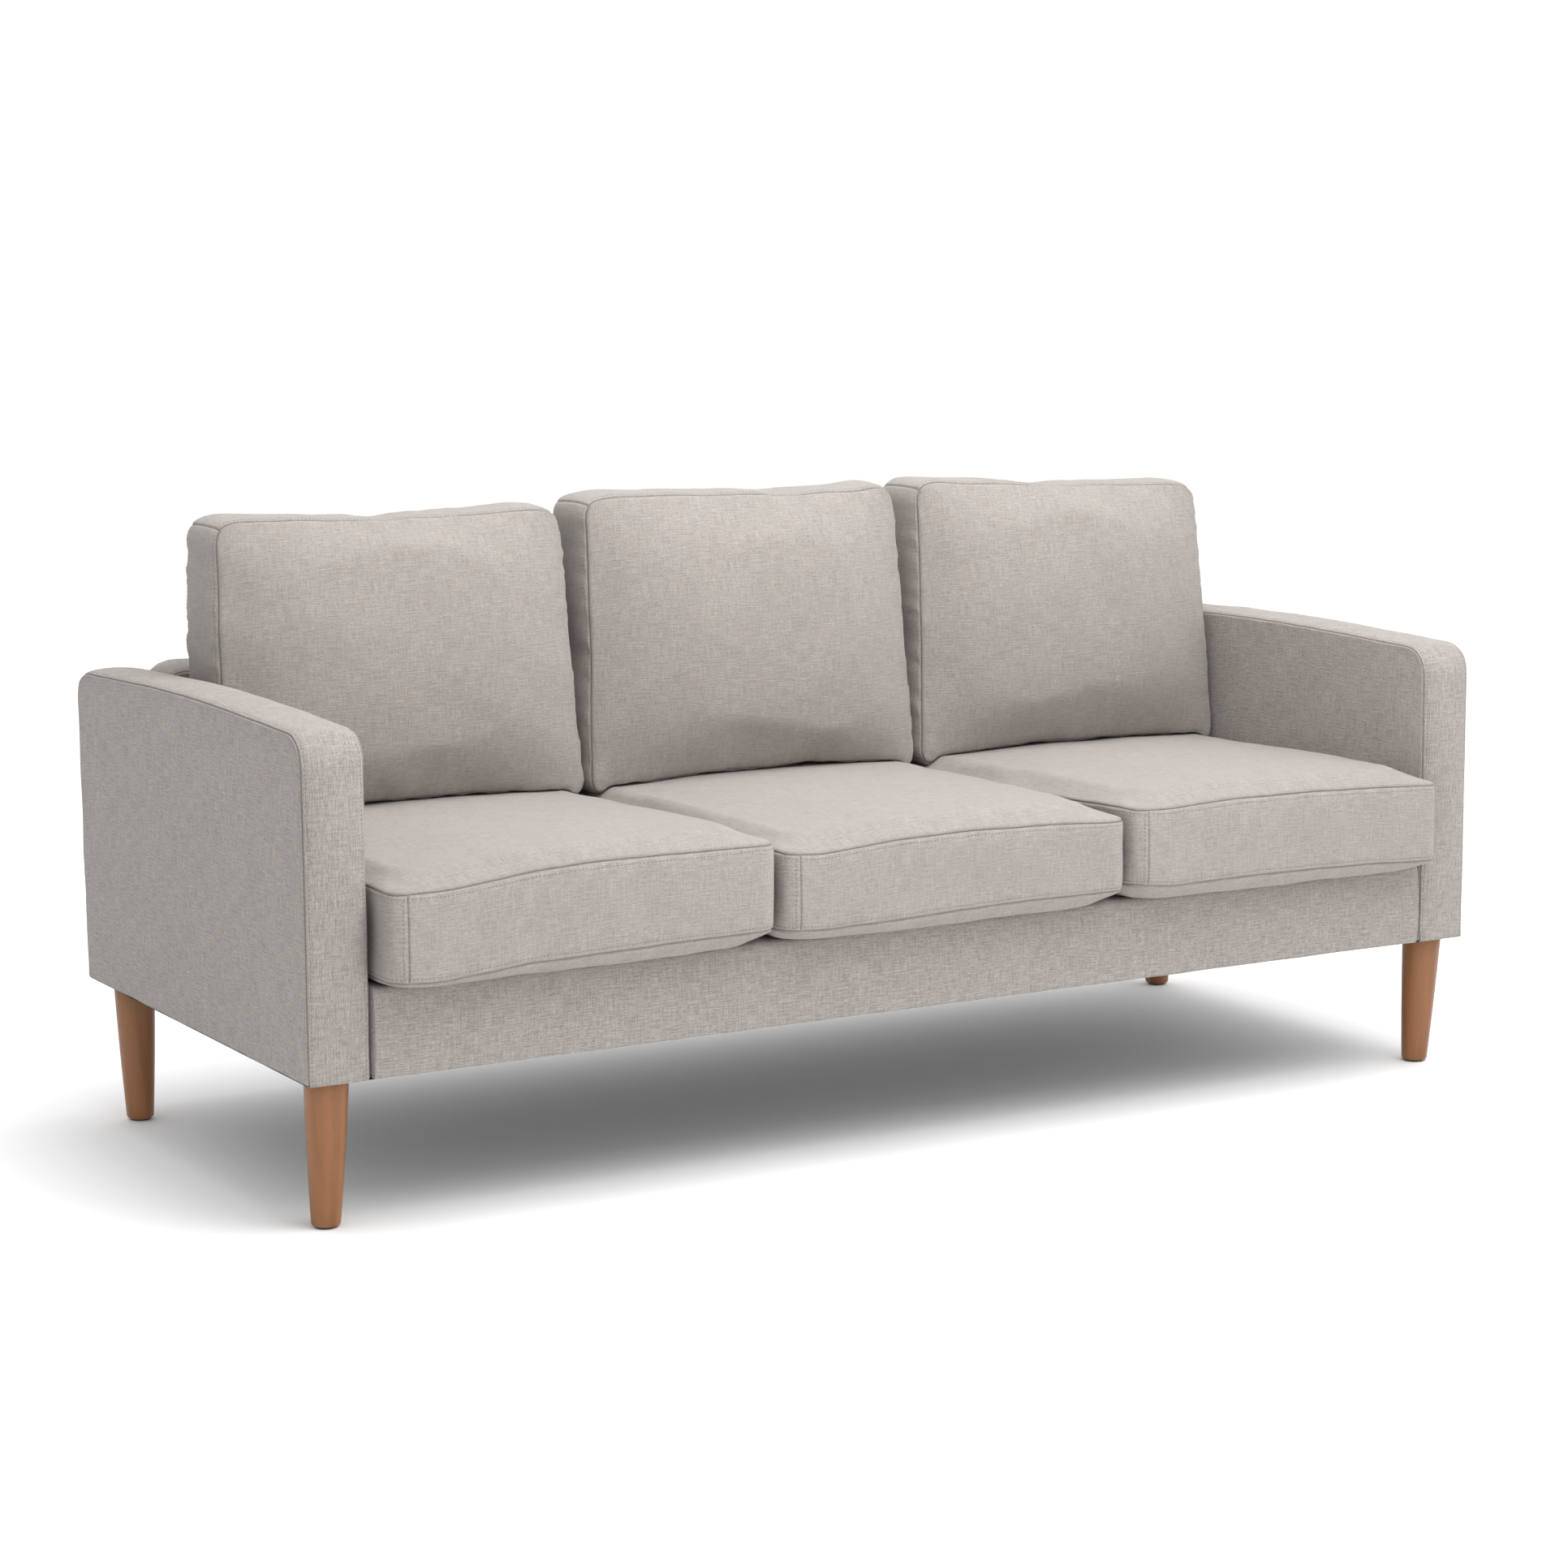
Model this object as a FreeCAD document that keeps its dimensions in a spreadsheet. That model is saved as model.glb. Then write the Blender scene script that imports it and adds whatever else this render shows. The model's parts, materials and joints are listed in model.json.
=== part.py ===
"""Three-seat sofa: timber carcass, padded arms, back and base, six loose cushions, four turned legs.

Frame: +Z up, the front faces -Y, +X is to the right as seen from the front.
The origin is on the floor, below the centre of the whole sofa's box. All lengths are in millimetres.
"""
import FreeCAD, Part
import math
import os
import Sketcher
from FreeCAD import Rotation, Vector

os.makedirs("parts", exist_ok=True)
doc = FreeCAD.newDocument("Sofa")

# ---------------------------------------------------------------- driving dimensions
DIMENSIONS = {
    # whole sofa
    "overall_width": 1900,
    "arm_width": 92,
    "arm_front": -369,
    "carcass_bottom": 197,
    "carcass_rear_low": 419,
    "carcass_rear_high": 430.8,
    # arm outline, seen from the side
    "arm_front_slope": 5,
    "arm_corner_height": 616,
    "arm_corner_radius": 25,
    "arm_crown_radius": 6000,
    "arm_rear_crown_start": 370,
    "arm_rear_crown_height": 638,
    "arm_rear_corner_height": 590,
    "arm_rear_corner_radius": 50,
    # cloth, padding and boards
    "cover_thickness": 1.5,
    "side_padding": 8,
    "front_padding": 20,
    "inner_panel": 12,
    "outer_panel": 4,
    "timber": 25,
    "timber_depth": 60,
    "timber_height": 45,
    "frame_rear": 406,
    "arm_frame_top": 625,
    # base between the arms
    "rail_top": 300,
    "stretcher_place": 286,
    "stretcher_width": 30,
    "stretcher_height": 60,
    "corner_block_leg": 60,
    "corner_block_low": 200,
    "corner_block_height": 60,
    "deck_pad_low": 304,
    "deck_pad_thickness": 10,
    "deck_rear": 350,
    "deck_side_gap": 2,
    "rail_padding_low": 307,
    "rail_edge_radius": 6,
    "dust_cover_thickness": 1.3,
    "dust_cover_margin": 6,
    # springs
    "spring_count": 12,
    "spring_wire": 4,
    "spring_pitch": 143,
    "spring_turns": 18,
    "spring_half_run": 30,
    "spring_lead": 17.5,
    "clip_half_width": 9,
    "clip_length": 16,
    "clip_plate": 1.5,
    "clip_slack": 0.2,
    # back
    "back_front": 331,
    "back_top": 655,
    "back_front_radius": 25,
    "back_rear_radius": 45,
    "back_rear_flat_end": 388,
    "back_rear_corner_height": 612,
    "back_low": 316,
    "back_gap": 1,
    "back_board": 4,
    "back_board_front": 373.5,
    "back_frame_top": 635,
    "back_frame_half_width": 845,
    "back_liner": 3,
    # fasteners
    "bolt_radius": 4,
    "bolt_clearance": 0.25,
    "bolt_head_radius": 8,
    "bolt_head_height": 6,
    "bolt_length": 45,
    "tnut_flange_radius": 11,
    "tnut_flange": 2,
    "tnut_barrel_radius": 5,
    "arm_bolt_height": 270,
    "arm_bolt_first": -240,
    "arm_bolt_pitch": 265,
    "back_bolt_height": 280,
    # legs
    "leg_top_radius": 29,
    "leg_foot_radius": 19,
    "leg_foot_round": 3,
    "leg_front_place": -326,
    "leg_rear_place": 350,
    "leg_offset": 10,
    "glide_height": 2.5,
    "glide_radius": 14,
    "hanger_in_leg": 40,
    "hanger_in_rail": 30,
    "insert_radius": 6,
    "insert_length": 25,
    # seat cushions
    "cushion_width": 570,
    "cushion_pitch": 571.5,
    "seat_front": -424,
    "seat_front_radius": 230,
    "seat_rear": 318,
    "seat_bottom": 316.5,
    "seat_lower_seam": 333,
    "seat_upper_seam": 445,
    "seat_crown_radius": 5000,
    "seat_front_rise": 55,
    "seat_rear_rise": 28,
    # back cushions
    "pillow_front_low": 131,
    "pillow_front_high": 176,
    "pillow_rear_low": 240,
    "pillow_rear_high": 276,
    "pillow_bottom": 457,
    "pillow_shoulder": 500,
    "pillow_top": 868,
    "pillow_front_radius": 560,
    "pillow_top_radius": 115,
    "pillow_rear_radius": 282,
    # zips
    "zip_length": 480,
    "zip_width": 24,
    "zip_thickness": 1.2,
    "zip_gap": 0.3,
    "seat_zip_height": 388,
    "pillow_zip_height": 480,
    "slider_width": 9,
    "slider_height": 11,
    "slider_thickness": 3.6,
    "slider_tab": 22,
    "slider_tab_width": 6,
    "slider_tab_thickness": 1.2,
}


class Size:
    """A length that knows its value and the spreadsheet expression it comes from."""

    def __init__(self, text, value):
        self.text = text
        self.value = value

    @staticmethod
    def of(other):
        return other if isinstance(other, Size) else Size(repr(float(other)), float(other))

    def __add__(self, other):
        other = Size.of(other)
        return Size(f"({self.text} + {other.text})", self.value + other.value)

    def __sub__(self, other):
        other = Size.of(other)
        return Size(f"({self.text} - {other.text})", self.value - other.value)

    def __mul__(self, other):
        other = Size.of(other)
        return Size(f"({self.text} * {other.text})", self.value * other.value)

    def __truediv__(self, other):
        other = Size.of(other)
        return Size(f"({self.text} / {other.text})", self.value / other.value)

    def __neg__(self):
        return Size(f"(0 - {self.text})", -self.value)


def make_sheet():
    """Fill the spreadsheet and return its dimensions as sizes, by alias."""
    sheet = doc.addObject("Spreadsheet::Sheet", "Dims")
    for row, (alias, number) in enumerate(DIMENSIONS.items(), start=1):
        sheet.set(f"A{row}", alias.replace("_", " "))
        sheet.set(f"B{row}", str(number))
        sheet.setAlias(f"B{row}", alias)
    doc.recompute()
    return {alias: Size(f"Dims.{alias}", float(getattr(sheet, alias))) for alias in DIMENSIONS}


dim = make_sheet()
nodes = []


# ---------------------------------------------------------------- building helpers
def node(label, obj):
    """Name an object as one of the sofa's pieces."""
    obj.Label = label
    nodes.append(obj)
    return obj


def bind(obj, name, size):
    """Tie one property of an object to the spreadsheet."""
    obj.setExpression(name, Size.of(size).text)


def place(obj, x=0, y=0, z=0):
    """Tie an object's position to the spreadsheet."""
    for axis, size in (("x", x), ("y", y), ("z", z)):
        bind(obj, f"Placement.Base.{axis}", size)


def box(x, y, z):
    """A Part::Box that fills a (low, high) range along each axis."""
    block = doc.addObject("Part::Box", "Box")
    for name, (low, high) in zip(("Length", "Width", "Height"), (x, y, z)):
        bind(block, name, Size.of(high) - low)
    place(block, x[0], y[0], z[0])
    return block


def cylinder(x, y, z, radius, length, along="z"):
    """A Part::Cylinder that starts at a point and runs along +X, +Y or +Z."""
    turns = {"x": Rotation(Vector(0, 1, 0), 90), "y": Rotation(Vector(1, 0, 0), -90), "z": Rotation()}
    rod = doc.addObject("Part::Cylinder", "Rod")
    rod.Placement.Rotation = turns[along]
    bind(rod, "Radius", radius)
    bind(rod, "Height", length)
    place(rod, x, y, z)
    return rod


def cut(base, *tools):
    """The base with every tool taken away, one after another."""
    for tool in tools:
        result = doc.addObject("Part::Cut", "Cut")
        result.Base = base
        result.Tool = tool
        base = result
    return base


def fuse(*pieces):
    """One solid made of touching pieces."""
    result = doc.addObject("Part::MultiFuse", "Fuse")
    result.Shapes = list(pieces)
    result.Refine = True
    return result


def group(*pieces):
    """Identical pieces that stay separate solids and share one node."""
    result = doc.addObject("Part::Compound", "Group")
    result.Links = list(pieces)
    return result


def mirrored(source, base=Vector(0, 0, 0), normal=Vector(1, 0, 0)):
    """The mirror image of an object, across the sofa's middle unless told otherwise."""
    result = doc.addObject("Part::Mirroring", "Mirror")
    result.Source = source
    result.Base = base
    result.Normal = normal
    return result


def origin_plane(body, role):
    """One of a body's own origin planes or axes."""
    return next(item for item in body.Origin.OriginFeatures if item.Role == role)


def new_sketch(body, name, plane):
    """A sketch on one of the body's origin planes."""
    sketch = body.newObject("Sketcher::SketchObject", name)
    sketch.AttachmentSupport = [(origin_plane(body, plane), "")]
    sketch.MapMode = "FlatFace"
    return sketch


def pin_point(sketch, geometry, point, u, v, name):
    """Hold one sketch point at its distances from the sketch's origin."""
    for kind, size in (("DistanceX", u), ("DistanceY", v)):
        size = Size.of(size)
        index = sketch.addConstraint(Sketcher.Constraint(kind, -1, 1, geometry, point, size.value))
        label = f"{name}_{kind[-1]}"
        sketch.renameConstraint(index, label)
        sketch.setExpression(f"Constraints.{label}", size.text)


def arc_between(start, end, radius):
    """The shorter arc of a radius from start to end, bulging to the left of the way for radius > 0."""
    middle = (start + end) * 0.5
    chord = end - start
    left = Vector(-chord.y, chord.x, 0).normalize()
    size = abs(radius)
    rise = size - math.sqrt(size * size - chord.Length * chord.Length / 4)
    return Part.Arc(start, middle + left * math.copysign(rise, radius), end)


def outline(sketch, corners):
    """A closed outline. Each corner is (u, v) or (u, v, radius of the edge that leaves it)."""
    points = [Vector(Size.of(c[0]).value, Size.of(c[1]).value, 0) for c in corners]
    count = len(corners)
    starts = []
    for i, corner in enumerate(corners):
        start, end = points[i], points[(i + 1) % count]
        if len(corner) == 2:
            index = sketch.addGeometry(Part.LineSegment(start, end), False)
            starts.append((index, 1, 2))
            continue
        radius = Size.of(corner[2])
        arc = arc_between(start, end, radius.value)
        index = sketch.addGeometry(arc, False)
        begins_here = sketch.getPoint(index, 1).distanceToPoint(start) < 1e-6
        starts.append((index, 1, 2) if begins_here else (index, 2, 1))
    for i in range(count):
        index, first, last = starts[i]
        following, next_first, _ = starts[(i + 1) % count]
        sketch.addConstraint(Sketcher.Constraint("Coincident", index, last, following, next_first))
        pin_point(sketch, index, first, corners[i][0], corners[i][1], f"corner{i}")
    for i, corner in enumerate(corners):
        if len(corner) == 3:
            radius = Size.of(corner[2])
            size = radius if radius.value > 0 else -radius
            index = sketch.addConstraint(Sketcher.Constraint("Radius", starts[i][0], size.value))
            sketch.renameConstraint(index, f"edge{i}_radius")
            sketch.setExpression(f"Constraints.edge{i}_radius", size.text)


def side_profile(name, corners, x_start, x_end):
    """A body with an outline in Y and Z, padded from one X to another."""
    body = doc.addObject("PartDesign::Body", name)
    sketch = new_sketch(body, f"{name}Profile", "YZ_Plane")
    outline(sketch, corners)
    pad = body.newObject("PartDesign::Pad", f"{name}Pad")
    pad.Profile = sketch
    bind(pad, "Length", Size.of(x_end) - x_start)
    place(body, x_start)
    return body


def circle_sketch(body, name, plane, u, v, radius, height=None):
    """A sketch of one circle, on an origin plane or a height above it."""
    sketch = new_sketch(body, name, plane)
    u, v, radius = Size.of(u), Size.of(v), Size.of(radius)
    ring = Part.Circle(Vector(u.value, v.value, 0), Vector(0, 0, 1), radius.value)
    index = sketch.addGeometry(ring, False)
    pin_point(sketch, index, 3, u, v, "centre")
    held = sketch.addConstraint(Sketcher.Constraint("Radius", index, radius.value))
    sketch.renameConstraint(held, "radius")
    sketch.setExpression("Constraints.radius", radius.text)
    if height is not None:
        sketch.setExpression("AttachmentOffset.Base.z", height.text)
    return sketch


# ---------------------------------------------------------------- shared places
half_width = dim["overall_width"] / 2
arm_inner = half_width - dim["arm_width"]
cloth = dim["cover_thickness"]
no_inset = Size.of(0)
frame_low = dim["carcass_bottom"]
frame_front = dim["arm_front"] + cloth + dim["front_padding"]
panel_inner_face = arm_inner + cloth + dim["side_padding"]
member_inner_face = panel_inner_face + dim["inner_panel"]
panel_outer_face = half_width - cloth - dim["side_padding"]
member_outer_face = panel_outer_face - dim["outer_panel"]
leg_x = (half_width + arm_inner) / 2
end_rail_inner = panel_inner_face - dim["timber"]
rail_front_rear = frame_front + dim["timber"]
post_front = dim["back_board_front"] + dim["back_board"]
rear_rail_front = post_front - dim["timber"]
back_void_rear = dim["frame_rear"] + dim["back_liner"]
deck_pad_top = dim["deck_pad_low"] + dim["deck_pad_thickness"]
deck_top = deck_pad_top + cloth
deck_half = arm_inner - dim["deck_side_gap"]
bolt_bore = dim["bolt_radius"] + dim["bolt_clearance"]
leg_places = (dim["leg_front_place"], dim["leg_rear_place"])
arm_bolt_places = [dim["arm_bolt_first"] + dim["arm_bolt_pitch"] * i for i in range(3)]
back_post_end = dim["back_frame_half_width"] - dim["timber_height"] / 2
back_post_places = (-back_post_end, -dim["stretcher_place"], dim["stretcher_place"], back_post_end)


# ---------------------------------------------------------------- arms
def arm_outline(inset):
    """The arm from the side, drawn in by an inset."""
    front = dim["arm_front"] + inset
    corner = dim["arm_corner_radius"] - inset
    crown_front = front + dim["arm_front_slope"] + corner
    return [
        (front, frame_low),
        (front + dim["arm_front_slope"], dim["arm_corner_height"], corner),
        (crown_front, dim["arm_corner_height"] + corner, dim["arm_crown_radius"]),
        (dim["arm_rear_crown_start"], dim["arm_rear_crown_height"] - inset, dim["arm_rear_corner_radius"]),
        (dim["carcass_rear_high"] - inset, dim["arm_rear_corner_height"]),
        (dim["carcass_rear_low"] - inset, frame_low),
    ]


def bored_arm_rail():
    """The arm's bottom rail, with a blind bore over each leg for a threaded insert and a bolt."""
    rail = box((member_inner_face, member_outer_face), (frame_front, dim["frame_rear"]),
               (frame_low, frame_low + dim["timber_height"]))
    bores = []
    for y in leg_places:
        bores.append(cylinder(leg_x, y, frame_low, dim["insert_radius"], dim["insert_length"]))
        bores.append(cylinder(leg_x, y, frame_low, bolt_bore, dim["hanger_in_rail"] + 2))
    return cut(rail, *bores)


def right_arm():
    """Every piece of the right arm, by the last part of its name."""
    depth = (frame_front, dim["frame_rear"])
    members = (member_inner_face, member_outer_face)
    panel_height = (frame_low, dim["arm_frame_top"])
    post_height = (frame_low + dim["timber_height"], dim["arm_frame_top"] - dim["timber_height"])
    post_starts = (frame_front, dim["frame_rear"] - dim["timber_depth"])
    posts = [box(members, (y, y + dim["timber_depth"]), post_height) for y in post_starts]
    tnut_bores = [cylinder(panel_inner_face, y, dim["arm_bolt_height"], dim["tnut_barrel_radius"],
                           dim["inner_panel"], "x") for y in arm_bolt_places]
    padding_block = side_profile("ArmPadding", arm_outline(cloth), arm_inner + cloth, half_width - cloth)
    cover_block = side_profile("ArmCover", arm_outline(no_inset), arm_inner, half_width)
    hollow = box((panel_inner_face, panel_outer_face), depth, panel_height)
    base_seat = box((arm_inner - 1, panel_inner_face), depth, (frame_low, dim["rail_top"]))
    return {
        "posts": group(*posts),
        "rail_top": box(members, depth, (post_height[1], dim["arm_frame_top"])),
        "rail_bottom": bored_arm_rail(),
        "panel_inner": cut(box((panel_inner_face, member_inner_face), depth, panel_height), *tnut_bores),
        "panel_outer": box((member_outer_face, panel_outer_face), depth, panel_height),
        "padding": cut(padding_block, hollow, base_seat),
        "cover": cut(cover_block, padding_block, base_seat),
    }


# ---------------------------------------------------------------- base
def corner_block(name, y_wall, inward):
    """A triangular block in the corner between an end rail and a long rail."""
    body = doc.addObject("PartDesign::Body", name)
    sketch = new_sketch(body, f"{name}Profile", "XY_Plane")
    leg = dim["corner_block_leg"]
    outline(sketch, [
        (end_rail_inner, y_wall),
        (end_rail_inner, y_wall + leg * inward),
        (end_rail_inner - leg, y_wall),
    ])
    pad = body.newObject("PartDesign::Pad", f"{name}Pad")
    pad.Profile = sketch
    bind(pad, "Length", dim["corner_block_height"])
    place(body, z=dim["corner_block_low"])
    return body


def make_base():
    """Rails, stretchers and corner blocks between the arms."""
    height = (frame_low, dim["rail_top"])
    between = (-end_rail_inner, end_rail_inner)
    node("base_rail_front", box(between, (frame_front, rail_front_rear), height))

    rear_bores = [cylinder(x, rear_rail_front, dim["back_bolt_height"], bolt_bore, dim["timber"], "y")
                  for x in back_post_places]
    node("base_rail_rear", cut(box(between, (rear_rail_front, post_front), height), *rear_bores))

    end_bores = [cylinder(end_rail_inner, y, dim["arm_bolt_height"], bolt_bore, dim["timber"], "x")
                 for y in arm_bolt_places]
    end_rail = cut(box((end_rail_inner, panel_inner_face), (frame_front, post_front), height), *end_bores)
    node("base_end_rails", group(end_rail, mirrored(end_rail)))

    half = dim["stretcher_width"] / 2
    stretcher = box((dim["stretcher_place"] - half, dim["stretcher_place"] + half),
                    (rail_front_rear, rear_rail_front), (frame_low, frame_low + dim["stretcher_height"]))
    node("base_stretchers", group(stretcher, mirrored(stretcher)))

    front = corner_block("CornerFront", rail_front_rear, 1)
    rear = corner_block("CornerRear", rear_rail_front, -1)
    node("base_corner_blocks", group(front, rear, mirrored(front), mirrored(rear)))


# ---------------------------------------------------------------- springs and deck
def draw_spring_path(sketch, span):
    """A zig-zag wire along +Y: cross runs joined by half-turns, and a straight lead at each end."""
    half_run = dim["spring_half_run"].value
    lead = dim["spring_lead"].value
    turns = int(dim["spring_turns"].value)
    radius = (span - 2 * lead) / (2 * (turns + 1))
    corner = radius * math.sqrt(0.5)

    def line(start, end):
        sketch.addGeometry(Part.LineSegment(Vector(*start, 0), Vector(*end, 0)), False)

    def arc(start, middle, end):
        sketch.addGeometry(Part.Arc(Vector(*start, 0), Vector(*middle, 0), Vector(*end, 0)), False)

    row = lead + radius
    line((0, 0), (0, lead))
    arc((0, lead), (radius - corner, lead + corner), (radius, row))
    line((radius, row), (half_run, row))
    side = 1
    for turn in range(turns):
        upper = row + 2 * radius
        arc((side * half_run, row), (side * (half_run + radius), row + radius), (side * half_run, upper))
        row = upper
        is_last = turn == turns - 1
        line((side * half_run, row), (side * radius if is_last else -side * half_run, row))
        side = -side
    exit_side = -side * radius
    arc((exit_side, row), (exit_side + side * corner, row + radius - corner), (0, row + radius))
    line((0, row + radius), (0, span))


def pattern_along_x(body, feature, occurrences, pitch):
    """Repeat a feature along +X and make the row the body's result."""
    row = body.newObject("PartDesign::LinearPattern", f"{body.Name}Row")
    row.Originals = [feature]
    row.Direction = (origin_plane(body, "X_Axis"), [""])
    bind(row, "Occurrences", occurrences)
    bind(row, "Length", pitch * (occurrences - 1))
    body.Tip = row


def make_springs():
    """Zig-zag springs from the front rail to the rear rail, with a steel clip over each end."""
    count, pitch, wire = dim["spring_count"], dim["spring_pitch"], dim["spring_wire"]
    row_start = -(pitch * (count - 1) / 2)
    front_end = frame_front + dim["timber"] / 2
    rear_end = rear_rail_front + dim["timber"] / 2

    springs = doc.addObject("PartDesign::Body", "Springs")
    path = new_sketch(springs, "SpringPath", "XY_Plane")
    draw_spring_path(path, (rear_end - front_end).value)
    section = circle_sketch(springs, "SpringSection", "XZ_Plane", 0, 0, wire / 2)
    doc.recompute()
    pipe = springs.newObject("PartDesign::AdditivePipe", "SpringWire")
    pipe.Profile = section
    pipe.Spine = (path, [])
    doc.recompute()
    pattern_along_x(springs, pipe, count, pitch)
    place(springs, row_start, front_end, dim["rail_top"] + wire / 2)
    node("base_springs", springs)

    clips = doc.addObject("PartDesign::Body", "Clips")
    sketch = new_sketch(clips, "ClipSection", "XZ_Plane")
    half, plate = dim["clip_half_width"], dim["clip_plate"]
    slot = wire / 2 + dim["clip_slack"]
    slot_top = wire + dim["clip_slack"]
    outline(sketch, [
        (-half, 0), (-half, plate), (-slot - plate, plate), (-slot - plate, slot_top + plate),
        (slot + plate, slot_top + plate), (slot + plate, plate), (half, plate), (half, 0),
        (slot, 0), (slot, slot_top), (-slot, slot_top), (-slot, 0),
    ])
    pad = clips.newObject("PartDesign::Pad", "ClipPad")
    pad.Profile = sketch
    pad.Midplane = True
    bind(pad, "Length", dim["clip_length"])
    doc.recompute()
    pattern_along_x(clips, pad, count, pitch)
    place(clips, row_start, front_end, dim["rail_top"])
    rear_clips = mirrored(clips, normal=Vector(0, 1, 0))
    bind(rear_clips, "Base.y", (front_end + rear_end) / 2)
    node("base_spring_clips", group(clips, rear_clips))


def rail_outline(inset):
    """The padded front rail from the side: a front face that rolls over into the deck."""
    front = dim["arm_front"] + inset
    radius = dim["rail_edge_radius"] - inset
    top = deck_top - inset
    return [
        (front, frame_low),
        (front, top - radius, radius),
        (front + radius, top),
        (rail_front_rear, top),
        (rail_front_rear, dim["rail_padding_low"]),
        (frame_front, dim["rail_padding_low"]),
        (frame_front, frame_low),
    ]


def make_deck():
    """The deck under the cushions, the padded front rail and the cloth under the whole carcass."""
    padding = side_profile("RailPadding", rail_outline(cloth), -deck_half, deck_half)
    cover = side_profile("RailCover", rail_outline(no_inset), -deck_half, deck_half)
    node("base_front_padding", padding)
    node("base_front_cover", cut(cover, padding))

    width, depth = (-deck_half, deck_half), (rail_front_rear, dim["deck_rear"])
    node("deck_pad", box(width, depth, (dim["deck_pad_low"], deck_pad_top)))
    node("deck_cloth", box(width, depth, (deck_pad_top, deck_top)))

    edge = half_width - dim["dust_cover_margin"]
    low = frame_low - dim["dust_cover_thickness"]
    sheet = box((-edge, edge), (dim["arm_front"] + dim["dust_cover_margin"],
                                dim["carcass_rear_low"] - dim["dust_cover_margin"]), (low, frame_low))
    leg_holes = [cylinder(x, y, low, dim["leg_top_radius"] + 1, dim["dust_cover_thickness"])
                 for x in (-leg_x, leg_x) for y in leg_places]
    node("dust_cover", cut(sheet, *leg_holes))


# ---------------------------------------------------------------- back
def back_outline(inset):
    """The upholstered back from the side. Below the deck only its rear face goes on down."""
    front = dim["back_front"] + inset
    radius = dim["back_front_radius"] - inset
    top = dim["back_top"] - inset
    return [
        (front, dim["back_low"]),
        (front, top - radius, radius),
        (front + radius, top),
        (dim["back_rear_flat_end"], top, dim["back_rear_radius"]),
        (dim["carcass_rear_high"] - inset, dim["back_rear_corner_height"]),
        (dim["carcass_rear_low"] - inset, frame_low),
        (back_void_rear, frame_low),
        (back_void_rear, dim["back_low"]),
    ]


def make_back():
    """Board, posts, top rail, liner, padding and cover of the fixed back."""
    half = dim["back_frame_half_width"]
    width = (-half, half)
    top_rail_low = dim["back_frame_top"] - dim["timber_height"]
    posts = []
    for x in back_post_places:
        post = box((x - dim["timber_height"] / 2, x + dim["timber_height"] / 2),
                   (post_front, dim["frame_rear"]), (frame_low, top_rail_low))
        bore = cylinder(x, post_front, dim["back_bolt_height"], dim["bolt_radius"],
                        dim["bolt_length"] - dim["timber"], "y")
        posts.append(cut(post, bore))
    node("back_posts", group(*posts))
    node("back_rail_top", box(width, (post_front, dim["frame_rear"]),
                              (top_rail_low, dim["back_frame_top"])))
    node("back_board", box(width, (dim["back_board_front"], post_front),
                           (dim["back_low"], dim["back_frame_top"])))
    node("back_liner", box(width, (dim["frame_rear"], back_void_rear), (frame_low, dim["back_frame_top"])))

    end = arm_inner - dim["back_gap"]
    padding = side_profile("BackPadding", back_outline(cloth), -end + cloth, end - cloth)
    cover = side_profile("BackCover", back_outline(no_inset), -end, end)
    hollow = box(width, (dim["back_board_front"], back_void_rear), (dim["back_low"], dim["back_frame_top"]))
    node("back_padding", cut(padding, hollow))
    node("back_cover", cut(cover, padding))


# ---------------------------------------------------------------- fasteners
def headed_bolt(x, y, z, along):
    """A bolt whose head ends at a point and whose shank runs on from it along +X or +Y."""
    head_x = x - dim["bolt_head_height"] if along == "x" else x
    head_y = y - dim["bolt_head_height"] if along == "y" else y
    head = cylinder(head_x, head_y, z, dim["bolt_head_radius"], dim["bolt_head_height"], along)
    shank = cylinder(x, y, z, dim["bolt_radius"], dim["bolt_length"], along)
    return fuse(head, shank)


def make_fasteners():
    """Bolts and tee nuts that hold the arms and the back to the base."""
    arm_bolts = [headed_bolt(end_rail_inner, y, dim["arm_bolt_height"], "x") for y in arm_bolt_places]
    back_bolts = [headed_bolt(x, rear_rail_front, dim["back_bolt_height"], "y") for x in back_post_places]
    node("frame_bolts", group(*arm_bolts, *[mirrored(bolt) for bolt in arm_bolts], *back_bolts))

    tnuts = []
    for y in arm_bolt_places:
        height = dim["arm_bolt_height"]
        barrel = cylinder(panel_inner_face, y, height, dim["tnut_barrel_radius"], dim["inner_panel"], "x")
        flange = cylinder(member_inner_face, y, height, dim["tnut_flange_radius"], dim["tnut_flange"], "x")
        thread = cylinder(panel_inner_face, y, height, dim["bolt_radius"],
                          dim["inner_panel"] + dim["tnut_flange"], "x")
        tnut = cut(fuse(barrel, flange), thread)
        tnuts += [tnut, mirrored(tnut)]
    node("frame_tnuts", group(*tnuts))


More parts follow.
